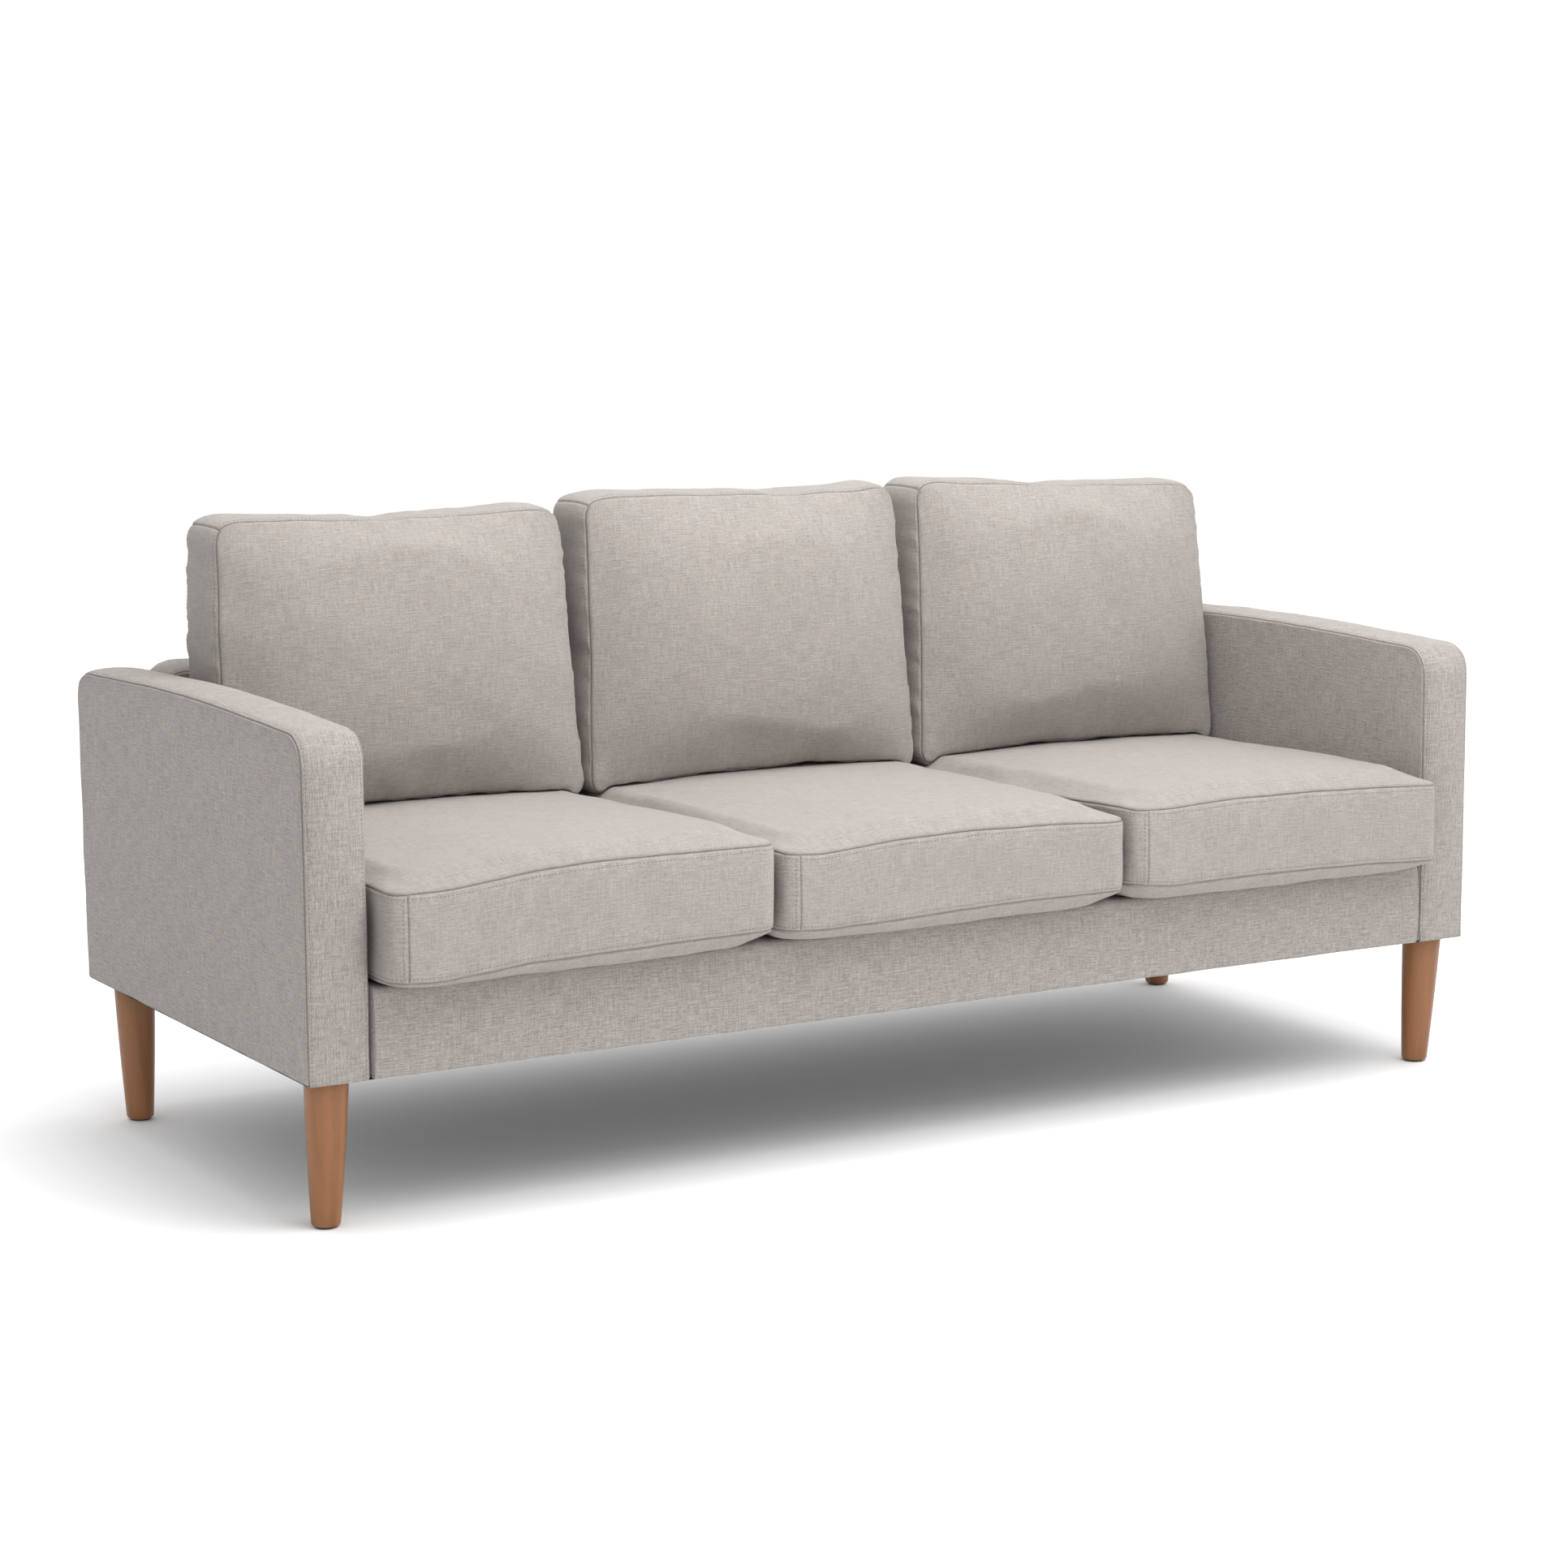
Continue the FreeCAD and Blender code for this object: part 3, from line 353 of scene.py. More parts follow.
class Slab:
    """Low and high panels and the strip between them, as grids of points."""

    def __init__(self, low, high, strip):
        self.low, self.high, self.strip = low, high, strip

    @staticmethod
    def between(low, high, rows, bulge):
        """A slab whose strip runs straight between the panels' rims and bulges outward."""
        share = np.linspace(0, 1, rows + 1)[:, None, None]
        strip = (1 - share) * rim(low) + share * rim(high)
        out = grid_normals(strip, ring=True)
        strip = strip + out * (bulge[None, :, None] * (4 * share * (1 - share)) ** 0.8)
        return Slab(low, high, strip)

    def points(self):
        return np.concatenate([grid.reshape(-1, 3) for grid in (self.low, self.high, self.strip[1:-1])])

    def take(self, points):
        """New places for all points, in the order that points() gives them."""
        low, high, inner = self.low.shape, self.high.shape, self.strip[1:-1].shape
        first, second = low[0] * low[1], high[0] * high[1]
        self.low = points[:first].reshape(low)
        self.high = points[first:first + second].reshape(high)
        inner = points[first + second:].reshape(inner)
        self.strip = np.concatenate([rim(self.low)[None], inner, rim(self.high)[None]])

    def quads(self):
        low = np.arange(self.low[..., 0].size).reshape(self.low.shape[:2])
        high = low + low.size
        rows, around = self.strip.shape[0] - 2, self.strip.shape[1]
        inner = 2 * low.size + np.arange(rows * around).reshape(rows, around)
        strip = closed(np.concatenate([rim(low)[None], inner, rim(high)[None]]))
        return np.concatenate([cells(low, flip=True), cells(high), cells(strip)])

    def refined(self, size, spacing, lines=()):
        """The same slab on a finer grid that is closest along the seams. size is its flat (u, v, t)."""
        marks = [places(size[0], spacing, lines), places(size[1], spacing), places(size[2], spacing)]
        spans = [self.low.shape[1] - 1, self.low.shape[0] - 1, self.strip.shape[0] - 1]
        at = [mark / length * span for mark, length, span in zip(marks, size, spans)]

        def panel(grid):
            rows = spline(grid, at[1])
            return spline(rows.transpose(1, 0, 2), at[0]).transpose(1, 0, 2)

        rows = spline(self.strip, at[2])
        around = all_round(at[0], at[1], spans[0], spans[1])
        strip = spline(rows.transpose(1, 0, 2), around, closed=True).transpose(1, 0, 2)
        result = Slab(panel(self.low), panel(self.high), strip)
        result.take(result.points())
        result.marks, result.size = marks, size
        result.run = all_round(marks[0], marks[1], size[0], size[1])
        return result

    def detailed(self, soft, groove, pucker, swell, seed, uprights=(), calm=None):
        """Round the cloth over at each seam, draw the seam in, add puckers and a faint swell, and mark where
        to paint shade along the seams.

        uprights are places round the strip with a seam across it. Between the two of calm, puckers are low.
        """
        low_out, high_out = -grid_normals(self.low), grid_normals(self.high)
        strip_out = grid_normals(self.strip, ring=True)
        u, v, t = self.marks
        bisect = [unit(rim(normals) + strip_out[row]) for normals, row in ((low_out, 0), (high_out, -1))]

        def profile(distance, stitched):
            inset = 0.414 * soft * np.clip(1 - distance / soft, 0, 1) ** 1.6
            inset = inset + groove * hill(distance, GROOVE_WIDTH)
            return inset + stitched * 0.0005 * hill(distance - STITCH_LINE, 0.0018)

        edge = [np.minimum(mark, mark[-1] - mark) for mark in (u, v)]
        distance = np.minimum(edge[0][None, :], edge[1][:, None])
        near = np.clip(1 - distance / soft, 0, 1)[..., None]
        along = self.run[None, :]
        crease_shade = []
        for name, normals, ring in (("low", low_out, bisect[0]), ("high", high_out, bisect[1])):
            grid = getattr(self, name)
            out = unit(normals * (1 - near) + rim_to_panel(ring, grid.shape) * near)
            push = swell * ripple(grid, 0.11, seed) - profile(distance, 0)
            fold = pucker * 0.6 * np.exp(-distance / 0.014) * (1 - hill(distance, CLEAR_OF_SEAM))
            push = push + fold * ripple(grid, 0.03, seed + 1)
            # painted shade along the panel's seams
            crease_shade.append(hill(distance, CREASE_SHADE_WIDTH))
            setattr(self, name, grid + out * push[..., None])
        up = np.minimum(t, t[-1] - t)[:, None]
        by_low, by_high = (np.clip(1 - far / soft, 0, 1)[:, None, None] for far in (t, t[-1] - t))
        out = unit(strip_out * (1 - by_low - by_high) + bisect[0] * by_low + bisect[1] * by_high)
        angle = along * 2 * math.pi / self.run.max()
        circle = np.stack([np.cos(angle), np.sin(angle)], axis=-1) * self.run.max() / (2 * math.pi)
        folds = 0
        for which, far in ((0, t[:, None]), (1, (t[-1] - t)[:, None])):
            fade = np.exp(-far / 0.017) * (1 - hill(far, CLEAR_OF_SEAM))
            folds = folds + pucker * fade * (ripple(circle, 0.034, seed + 3 + which)
                                             + 0.6 * ripple(circle, 0.017, seed + 7 + which))
        if calm:
            ease = 0.02
            marks = (calm[0] - ease, calm[0] + ease, calm[1] - ease, calm[1] + ease)
            folds = folds * np.interp(along, marks, (1, 0.2, 0.2, 1))
        push = swell * ripple(self.strip, 0.11, seed) - profile(up, 1) + folds
        # painted shade along the strip's seams, and across it at the uprights
        dark = hill(up, CREASE_SHADE_WIDTH) + 0 * along
        for line in uprights:
            gap = np.abs(along - line)
            fade = np.clip(up / CLEAR_OF_SEAM, 0, 1)
            push = push - fade * groove * 1.1 * hill(gap, GROOVE_WIDTH)
            dark = np.maximum(dark, fade * hill(gap, CREASE_SHADE_WIDTH))
        strip = self.strip + out * push[..., None]
        crease_shade.append(dark[1:-1])
        self.crease_shade = np.concatenate([part.reshape(-1) for part in crease_shade])
        self.out = out
        self.strip = strip
        self.take(self.points())

    def uvs(self):
        u, v, t = self.marks
        flat = np.stack(np.meshgrid(u, v), axis=-1)
        run = np.append(self.run, 2 * (self.size[0] + self.size[1]))
        around = np.stack(np.meshgrid(run + 3.0, t + 1.0), axis=-1)
        return np.concatenate([cells(flat + 5.0, flip=True), cells(flat), cells(around)])

    def stitch_rows(self, stretch=None):
        """A line on the strip beside each seam, as points and outward directions."""
        low = int(np.abs(self.marks[2] - STITCH_LINE).argmin())
        pick = np.append(np.arange(len(self.run)), 0)
        if stretch:
            pick = np.flatnonzero((self.run >= stretch[0]) & (self.run <= stretch[1]))
        return [(self.strip[row, pick], self.out[row, pick]) for row in (low, len(self.marks[2]) - 1 - low)]

    def stitch_column(self, line):
        column = int(np.abs(self.run - line).argmin())
        inside = (self.marks[2] > 0.006) & (self.marks[2] < self.marks[2][-1] - 0.006)
        return self.strip[inside, column], self.out[inside, column]


def rim_to_panel(ring, shape):
    """Spread a rim's directions over its panel: each point takes those of its nearest edges."""
    rows, columns = shape[:2]
    wide, tall = columns - 1, rows - 1
    bottom, right, top, left = ring_sides(ring, wide, tall)
    v = np.minimum(np.arange(rows), tall - np.arange(rows))[:, None, None]
    u = np.minimum(np.arange(columns), wide - np.arange(columns))[None, :, None]
    low_half = (np.arange(rows) * 2 <= tall)[:, None, None]
    left_half = (np.arange(columns) * 2 <= wide)[None, :, None]
    by_row = np.where(low_half, bottom[None], top[None])
    by_column = np.where(left_half, left[:, None], right[:, None])
    return np.where(v <= u, by_row, by_column)


# ---------------- objects
def linked(name, data):
    piece = bpy.data.objects.new(name, data)
    bpy.context.scene.collection.objects.link(piece)
    return piece


def add_object(name, points, faces, uvs=None, material=None, crease_shade=None):
    """A smooth mesh object. uvs go corner by corner, painted seam shade point by point."""
    mesh = bpy.data.meshes.new(name)
    if isinstance(faces, np.ndarray):
        faces = faces.tolist()
    mesh.from_pydata(np.asarray(points).tolist(), [], faces)
    if uvs is not None:
        mesh.uv_layers.new(name="cloth").data.foreach_set("uv", np.asarray(uvs, np.float32).reshape(-1))
    if crease_shade is not None:
        mesh.attributes.new("crease_shade", "FLOAT", "POINT").data.foreach_set("value", crease_shade.astype(np.float32))
    mesh.polygons.foreach_set("use_smooth", np.ones(len(mesh.polygons), bool))
    mesh.update()
    piece = linked(name, mesh)
    if material:
        mesh.materials.append(material)
    return piece


def hand_over(piece, body, replaced=()):
    """Say what a piece rides and hide the CAD nodes that it replaces."""
    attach(piece, body)
    if replaced:
        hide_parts(*replaced)


def slab_object(name, slab, body, replaced):
    """A piece with the cushions' cloth."""
    piece = add_object(name, slab.points(), slab.quads(), slab.uvs(), LINEN, slab.crease_shade)
    hand_over(piece, body, replaced)


def stitch_object(name, lines, body, pitch=0.0056, length=0.0041, width=0.0005, rise=0.0004):
    """Small raised stitches along lines that lie on the cloth."""
    points, faces = [], []
    for line, out in lines:
        run = travelled(line)
        count = int(run[-1] / pitch)
        middle = (np.arange(count) + 0.5) * run[-1] / count
        normal = unit(read_along(out, run, middle))
        start, centre, end = (read_along(line, run, np.clip(middle + step * length / 2, 0, run[-1]))
                              for step in (-1, 0, 1))
        side = np.cross(unit(end - start), normal)
        rings = []
        for base, high, wide in ((start, -0.5, 0.5), (0.55 * start + 0.45 * centre, 0.75, 1.0),
                                 (centre, 1.0, 1.1), (0.45 * centre + 0.55 * end, 0.75, 1.0),
                                 (end, -0.5, 0.5)):
            top = base + normal * rise * high
            thread = [top + side * width * across * wide - normal * rise * drop for across, drop in
                      ((-1, 1), (-0.5, 0), (0.5, 0), (1, 1), (0, 2))]
            rings.append(np.stack(thread, axis=1))
        index = sum(len(p) for p in points) + np.arange(count * 25).reshape(count, 5, 5)
        points.append(np.stack(rings, axis=1).reshape(-1, 3))
        after = np.roll(index, -1, axis=2)
        sides = np.stack([index[:, :-1], index[:, 1:], after[:, 1:], after[:, :-1]], axis=-1)
        faces += sides.reshape(-1, 4).tolist()
        faces += index[:, 0].tolist() + index[:, 4, ::-1].tolist()
    hand_over(add_object(name, np.concatenate(points), faces, None, THREAD), body)


# ---------------- cushions
def seam_lines(*lines):
    return {side: curve_through(line) for side, line in zip(SIDES, lines)}


def curve_through(places_and_heights):
    at, heights = np.array(places_and_heights).T
    smooth = np.linspace(at[0], at[-1], 200)
    line = np.interp(smooth, at, heights)
    kernel = np.hanning(25) / np.hanning(25).sum()
    line = np.convolve(np.pad(line, 12, mode="edge"), kernel, mode="valid")
    return lambda x: np.interp(x, smooth, line)


# seam heights along the left, middle and right cushion's front, each from its left side (0) to its right (1)
SEAT_TOP_SEAM = seam_lines(
    ((0, 0.443), (0.15, 0.442), (0.33, 0.454), (0.5, 0.460), (0.8, 0.459), (1, 0.459)),
    ((0, 0.444), (0.1, 0.438), (0.3, 0.447), (0.5, 0.450), (0.75, 0.447), (0.93, 0.441), (1, 0.442)),
    ((0, 0.455), (0.13, 0.452), (0.32, 0.457), (0.6, 0.455), (0.85, 0.450), (1, 0.446)))
SEAT_LOW_SEAM = seam_lines(
    ((0, 0.325), (0.12, 0.323), (0.35, 0.333), (0.7, 0.338), (1, 0.340)),
    ((0, 0.336), (0.12, 0.332), (0.4, 0.336), (0.7, 0.340), (1, 0.339)),
    ((0, 0.344), (0.12, 0.338), (0.4, 0.339), (0.75, 0.336), (1, 0.329)))
BACK_TOP_SEAM = seam_lines(
    ((0, 0.853), (0.08, 0.866), (0.3, 0.863), (0.5, 0.862), (0.72, 0.862), (0.9, 0.864), (1, 0.860)),
    ((0, 0.867), (0.12, 0.877), (0.35, 0.876), (0.65, 0.871), (0.85, 0.870), (0.94, 0.875), (1, 0.865)),
    ((0, 0.866), (0.08, 0.878), (0.25, 0.873), (0.5, 0.867), (0.78, 0.861), (0.92, 0.858), (1, 0.848)))
SEAT_HALF, SEAT_FRONT, SEAT_REAR, DECK_TOP = 0.2825, -0.424, 0.3165, 0.3168
BACK_LOW, BACK_HIGH = 0.457, 0.866
SIDE_LIMIT = 0.2853                          # half of the width that is free for a cushion
REAR_LIMIT, LOW_LIMIT = 0.3179, 0.3167       # how far back and down a seat cushion may reach
FOOT_REAR_LIMIT, SLANT_LOW = 0.2399, 0.503   # how far back a back cushion may reach below its slanted rear


def centre_of(cushion):
    low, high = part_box(f"{cushion}_filling")
    return (low.x + high.x) / 2


def across(x):
    """Where on a cushion's width, 0 to 1, something lies that is x from its middle."""
    return (x + SEAT_HALF) / (2 * SEAT_HALF)


def seat_start(side):
    """A seat cushion before it is filled: plan in x and y, thickness in z."""
    centre = centre_of(f"seat_cushion_{side}")
    counts = (round(2 * SEAT_HALF / CELL), round((SEAT_REAR - SEAT_FRONT) / CELL))
    plan = rounded_panel(SEAT_HALF, SEAT_HALF, SEAT_FRONT, SEAT_REAR, (0.027, 0.02), counts)
    share = np.clip(across(plan[..., 0]), 0, 1)
    depth = np.clip((plan[..., 1] - SEAT_FRONT) / (SEAT_REAR - SEAT_FRONT), 0, 1)
    near = (1 - depth) ** 2
    high = SEAT_TOP_SEAM[side](share) * near + 0.438 * (1 - near) - 0.008 * depth
    low = SEAT_LOW_SEAM[side](share) * near + 0.338 * (1 - near)
    x, y = plan[..., 0] + centre, plan[..., 1]
    low_grid = grid_of(x, y, low - dome(plan.shape, 9) * (low - DECK_TOP))
    high_grid = grid_of(x, y, high + 0.010 * dome(plan.shape))
    front = 0.004 + 0.005 * np.sin(math.pi * (np.arange(counts[0]) / counts[0]))
    slab = Slab.between(low_grid, high_grid, 8, bulges(counts, front, 0.0015, 0.0, 0.0015))
    slab.centre = centre
    return slab


def back_start(side):
    """A back cushion before it is filled: face in x and z, thickness in y."""
    centre = centre_of(f"back_cushion_{side}")
    counts = (round(2 * SEAT_HALF / CELL), round((BACK_HIGH - BACK_LOW) / CELL))
    face = rounded_panel(0.2815, 0.2645, BACK_LOW, BACK_HIGH, (0.024, 0.026), counts)
    share = np.clip(across(face[..., 0]), 0, 1)
    up = np.clip((face[..., 1] - BACK_LOW) / (BACK_HIGH - BACK_LOW), 0, 1)
    x = face[..., 0] + centre
    z = face[..., 1] + up ** 4 * (BACK_TOP_SEAM[side](share) - BACK_HIGH)
    z = z - (1 - up) ** 4 * 0.020 * (np.abs(2 * share - 1) ** 3 - 0.2)  # the foot's corners hang lower
    lift = (1 - np.abs(2 * share - 1) ** 2.8) * np.sin(math.pi * up ** 0.86) ** 0.75
    front = 0.131 + (z - BACK_LOW) * 0.1095 - 0.034 * lift
    rear = 0.236 + (z - BACK_LOW) * 0.095 + 0.040 * lift * np.clip(up / 0.25, 0, 1)
    rear_grid = grid_of(centre + (x - centre) * 1.012, rear, z)
    slab = Slab.between(rear_grid, grid_of(x, front, z), 8, bulges(counts, 0.0, 0.006, 0.005, 0.006))
    slab.centre = centre
    return slab


def smoothed_ring(ring, reach=4):
    weights = np.hanning(2 * reach + 3)[1:-1]
    steps = range(-reach, reach + 1)
    return sum(w * np.roll(ring, step, axis=0) for w, step in zip(weights, steps)) / weights.sum()


def calmed(travel, quads, keep=0.15, rounds=24):
    """A travel with its short wrinkles turned down."""
    pairs = np.concatenate([quads[:, [k, (k + 1) % 4]] for k in range(4)])
    edges = np.unique(np.sort(pairs, axis=1), axis=0)
    degree = np.bincount(edges.reshape(-1), minlength=len(travel))[:, None]
    smooth = travel
    for _ in range(rounds):
        total = np.zeros_like(smooth)
        np.add.at(total, edges[:, 0], smooth[edges[:, 1]])
        np.add.at(total, edges[:, 1], smooth[edges[:, 0]])
        smooth = 0.4 * smooth + 0.6 * total / degree
    return smooth + keep * (travel - smooth)


def hold_seams(slab, travel, share=0.9):
    """Take the seams' broad shift out of a travel: the puff stays and the outline keeps its size."""
    moved = Slab(slab.low, slab.high, slab.strip)
    moved.take(calmed(travel, slab.quads()))
    wide, tall = slab.low.shape[1] - 1, slab.low.shape[0] - 1
    drifts = [smoothed_ring(rim(grid)) * share for grid in (moved.low, moved.high)]
    for name, drift in zip(("low", "high"), drifts):
        setattr(moved, name, getattr(moved, name) - filled(*ring_sides(drift, wide, tall)))
    up = np.linspace(0, 1, len(moved.strip))[:, None, None]
    moved.strip = moved.strip - (1 - up) * drifts[0] - up * drifts[1]
    return moved.points()


def fill_with_air(slabs, pressure=4.0, cap=0.022, frames=20):
    """Blow the cushions up together as sewn cloth, and take the settled shapes back to the grids."""
    scene = bpy.context.scene
    made = []
    for slab in slabs:
        start = slab.points()
        piece = add_object("air", start, slab.quads())
        index = np.arange(slab.low[..., 0].size).reshape(slab.low.shape[:2])
        edge = [*rim(index), *rim(index + index.size)]
        piece.vertex_groups.new(name="seam").add([int(place) for place in edge], 1.0, "REPLACE")
        cloth = piece.modifiers.new("air", "CLOTH")
        for key, value in dict(quality=6, mass=0.35, tension_stiffness=30, compression_stiffness=30,
                               shear_stiffness=12, bending_stiffness=12, vertex_group_shrink="seam",
                               shrink_min=-0.006, shrink_max=0.006, use_pressure=True,
                               uniform_pressure_force=pressure).items():
            setattr(cloth.settings, key, value)
        cloth.settings.effector_weights.gravity = 0
        made.append((slab, piece, start))
    scene.frame_start, scene.frame_end = 1, frames
    for number in range(1, frames + 1):
        scene.frame_set(number)
    for slab, piece, start in made:
        with bpy.context.temp_override(object=piece, active_object=piece, selected_objects=[piece]):
            bpy.ops.object.modifier_apply(modifier="air")
        points = np.zeros(len(start) * 3)
        piece.data.vertices.foreach_get("co", points)
        travel = points.reshape(-1, 3) - start
        travel -= travel.mean(axis=0)
        travel = hold_seams(slab, travel)
        length = np.linalg.norm(travel, axis=1, keepdims=True)
        slab.take(start + travel * np.minimum(1, cap / np.maximum(length, 1e-9)))
        bpy.data.objects.remove(piece)
    scene.frame_set(1)


def soft_limit(value, limit, width=0.002):
    """value where it is well below limit, easing to just under it where it would pass."""
    return limit - width * np.logaddexp(0, (limit - value) / width)


def keep_width(points, centre):
    offset = points[:, 0] - centre
    points[:, 0] = centre + np.sign(offset) * soft_limit(np.abs(offset), 0.2851)


def settle_seat(slab, side):
    """Keep a filled seat cushion on its deck, between its neighbours and with its seams at their heights."""
    points = slab.points()
    share = np.clip(across(points[:, 0] - slab.centre), 0, 1)
    miss = []
    for seam, front in ((SEAT_TOP_SEAM[side], slab.high[0]), (SEAT_LOW_SEAM[side], slab.low[0])):
        order = across(front[:, 0] - slab.centre)
        miss.append(np.interp(share, order, seam(order) - front[:, 2]))
    high = np.clip((points[:, 2] - 0.345) / 0.1, 0, 1)
    off_deck = np.clip((points[:, 2] - 0.318) / 0.015, 0, 1)
    fade = np.clip(1 - (points[:, 1] - SEAT_FRONT) / 0.3, 0, 1) ** 2
    points[:, 2] += fade * (high * miss[0] + (1 - high) * miss[1] * off_deck)
    keep_width(points, slab.centre)
    points[:, 1] = soft_limit(points[:, 1], 0.3178)
    points[:, 2] = -soft_limit(-points[:, 2], -DECK_TOP, 0.0015)
    slab.take(points)


def settle_back(slab, side, seats):
    """Stand a filled back cushion on the seat cushions, clear of the fixed back and its neighbours."""
    points = slab.points()
    keep_width(points, slab.centre)
    limit = 0.2398 + np.clip(points[:, 2] - SLANT_LOW, 0, 1) * 0.62
    points[:, 1] = soft_limit(points[:, 1], np.minimum(limit, 0.3285), 0.004)
    stand_on(points, seats)
    slab.take(points)


def stand_on(points, seats, clear=0.0008):
    """Lift what lies below the seat cushions' tops."""
    for point in points:
        if point[2] < 0.50:
            hit = seats.ray_cast(Vector((point[0], point[1], 0.60)), Vector((0, 0, -1)))[0]
            if hit:
                point[2] = max(point[2], hit.z + clear)


def zip_object(name, centre, rear, height, body):
    """A zip along the rear strip: woven tape with two rows of teeth."""
    half, wide, steps = 0.24, 0.012, 96
    x = np.linspace(-half, half, steps + 1)
    z = np.array([-1, -0.97, -0.55, -0.22, -0.12, 0.12, 0.22, 0.55, 0.97, 1]) * wide
    rise = np.array([-6, 4, 6, 7, 3, 3, 7, 6, 4, -6])[:, None] * 0.0001
    flat = np.stack(np.meshgrid(x, z), axis=-1)
    front = grid_of(centre + flat[..., 0], rear + rise, height + flat[..., 1])
    behind = grid_of(front[..., 0], rear - 0.0008, front[..., 2])
    index = np.arange(front[..., 0].size).reshape(front.shape[:2])
    edge = rim(index)
    walls = np.stack([edge, np.roll(edge, -1), np.roll(edge, -1) + index.size, edge + index.size], axis=-1)
    quads = np.concatenate([cells(index, flip=True), cells(index + index.size), walls])
    uvs = np.concatenate([cells(flat, flip=True), cells(flat), np.zeros((len(walls), 4, 2))])
    tape = add_object(name, np.stack([front, behind]).reshape(-1, 3), quads, uvs, TAPE)
    hand_over(tape, body)
    points, faces = [], []
    pitch = 0.0024
    for i in range(int(2 * half / pitch)):
        middle = centre - half + pitch / 2 + pitch * i
        low, high = (-0.0022, 0.0008) if i % 2 else (-0.0008, 0.0022)
        faces += [[len(points) + corner for corner in quad] for quad in
                  ((0, 1, 3, 2), (4, 6, 7, 5), (0, 4, 5, 1), (2, 3, 7, 6), (1, 5, 7, 3), (0, 2, 6, 4))]
        points += [(middle + dx, rear + dy, height + dz) for dx in (-0.0008, 0.0008) for dy in (0.0, 0.0011)
                   for dz in (low, high)]
    teeth = add_object(name + "_teeth", points, faces, None, SLOT_LOOKS["zip_metal"])
    teeth.data.polygons.foreach_set("use_smooth", np.zeros(len(teeth.data.polygons), bool))
    hand_over(teeth, body)


def cover_cushion(slab, body, lines, zip_place):
    slab_object(f"{body}_padded_cover", slab, body, (f"{body}_cover", f"{body}_filling"))
    stitch_object(f"{body}_topstitch", lines, body)
    zip_object(f"{body}_zip", centre_of(body), *zip_place, body)


def make_cushions():
    seats = {side: seat_start(side) for side in SIDES}
    backs = {side: back_start(side) for side in SIDES}
    fill_with_air([*seats.values(), *backs.values()])
    seat_size = (2 * SEAT_HALF, SEAT_REAR - SEAT_FRONT, 0.105)
    back_size = (2 * SEAT_HALF, BACK_HIGH - BACK_LOW, 0.108)
    corner_seams = (0.019, seat_size[0] + SEAM_STEPS[5])
    ground_points, ground_quads = [], []
    for number, (side, slab) in enumerate(seats.items()):
        body = f"seat_cushion_{side}"
        centre = slab.centre
        settle_seat(slab, side)
        slab = slab.refined(seat_size, 0.0065, corner_seams[:1])
        slab.detailed(0.007, 0.0014, 0.0007, 0.0009, 20 + number, corner_seams)
        points = slab.points()
        np.clip(points[:, 0], centre - SIDE_LIMIT, centre + SIDE_LIMIT, out=points[:, 0])
        points[:, 1] = np.minimum(points[:, 1], REAR_LIMIT)
        points[:, 2] = np.maximum(points[:, 2], LOW_LIMIT)
        slab.take(points)
        columns = [slab.stitch_column(seam + STITCH_LINE * way) for seam, way in zip(corner_seams, (-1, 1))]
        cover_cushion(slab, body, slab.stitch_rows() + columns, (0.318, 0.388))
        ground_quads += (slab.quads() + sum(len(p) for p in ground_points)).tolist()
        ground_points.append(slab.points())
    ground = BVHTree.FromPolygons(np.concatenate(ground_points).tolist(), ground_quads)
    top = (back_size[0] + back_size[1], 2 * back_size[0] + back_size[1])
    for number, (side, slab) in enumerate(backs.items()):
        centre = slab.centre
        settle_back(slab, side, ground)
        slab = slab.refined(back_size, 0.0065)
        slab.detailed(0.008, 0.0015, 0.0024, 0.0012, 50 + number, top, top)
        points = slab.points()
        np.clip(points[:, 0], centre - SIDE_LIMIT, centre + SIDE_LIMIT, out=points[:, 0])
        low = points[:, 2] < SLANT_LOW
        points[low, 1] = np.minimum(points[low, 1], FOOT_REAR_LIMIT)
        stand_on(points, ground)
        slab.take(points)
        cover_cushion(slab, f"back_cushion_{side}", slab.stitch_rows(), (0.240, 0.480))


# ---------------- arms, back and base
def make_arms():
    corners = [(-0.369, FRAME_LOW), (0.419, FRAME_LOW), (0.4325, 0.640), (-0.3635, 0.6415)]
    counts = (57, 32)
    bottom, right, top, left = quad_sides(corners, (0.0005, 0.0005, 0.045, 0.042), counts)
    arch = np.sin(math.pi * np.clip((top[:, 0] + 0.36) / 0.79, 0, 1))
    top[:, 1] += 0.0095 * arch ** 1.3
    plan = filled(bottom, right, top, left)
    lift = dome(plan.shape, 4)
    inner = grid_of(0.8607 - 0.0022 * lift, plan[..., 0], plan[..., 1])
    outer = grid_of(0.9478 + 0.0022 * lift, plan[..., 0], plan[..., 1])
    front = (0.002 + 0.009 * np.sin(math.pi * (np.arange(counts[1]) / counts[1]) ** 1.2))[::-1]
    slab = Slab.between(inner, outer, 7, bulges(counts, 0.0, 0.004, 0.0055, front))
    slab = slab.refined((0.8, 0.445, 0.092), 0.0075)
    slab.detailed(0.0055, 0.0015, 0.0003, 0.0007, 80)
    points = slab.points()
    points[:, 2] = np.maximum(points[:, 2], 0.1971)
    slab.take(points)
    lines = slab.stitch_rows((0.8, 2.49))
    quads, uvs = slab.quads(), slab.uvs()
    for side, mirror in (("right", (1, 1, 1)), ("left", (-1, 1, 1))):
        name = f"arm_{side}"
        piece = add_object(f"{name}_upholstery", points * mirror, quads, uvs, TIGHT_LINEN, slab.crease_shade)
        hand_over(piece, "carcass", (f"{name}_cover", f"{name}_padding"))
        stitch_object(f"{name}_topstitch", [(line * mirror, out * mirror) for line, out in lines], "carcass")
        quads, uvs = quads[:, ::-1], uvs[:, ::-1]


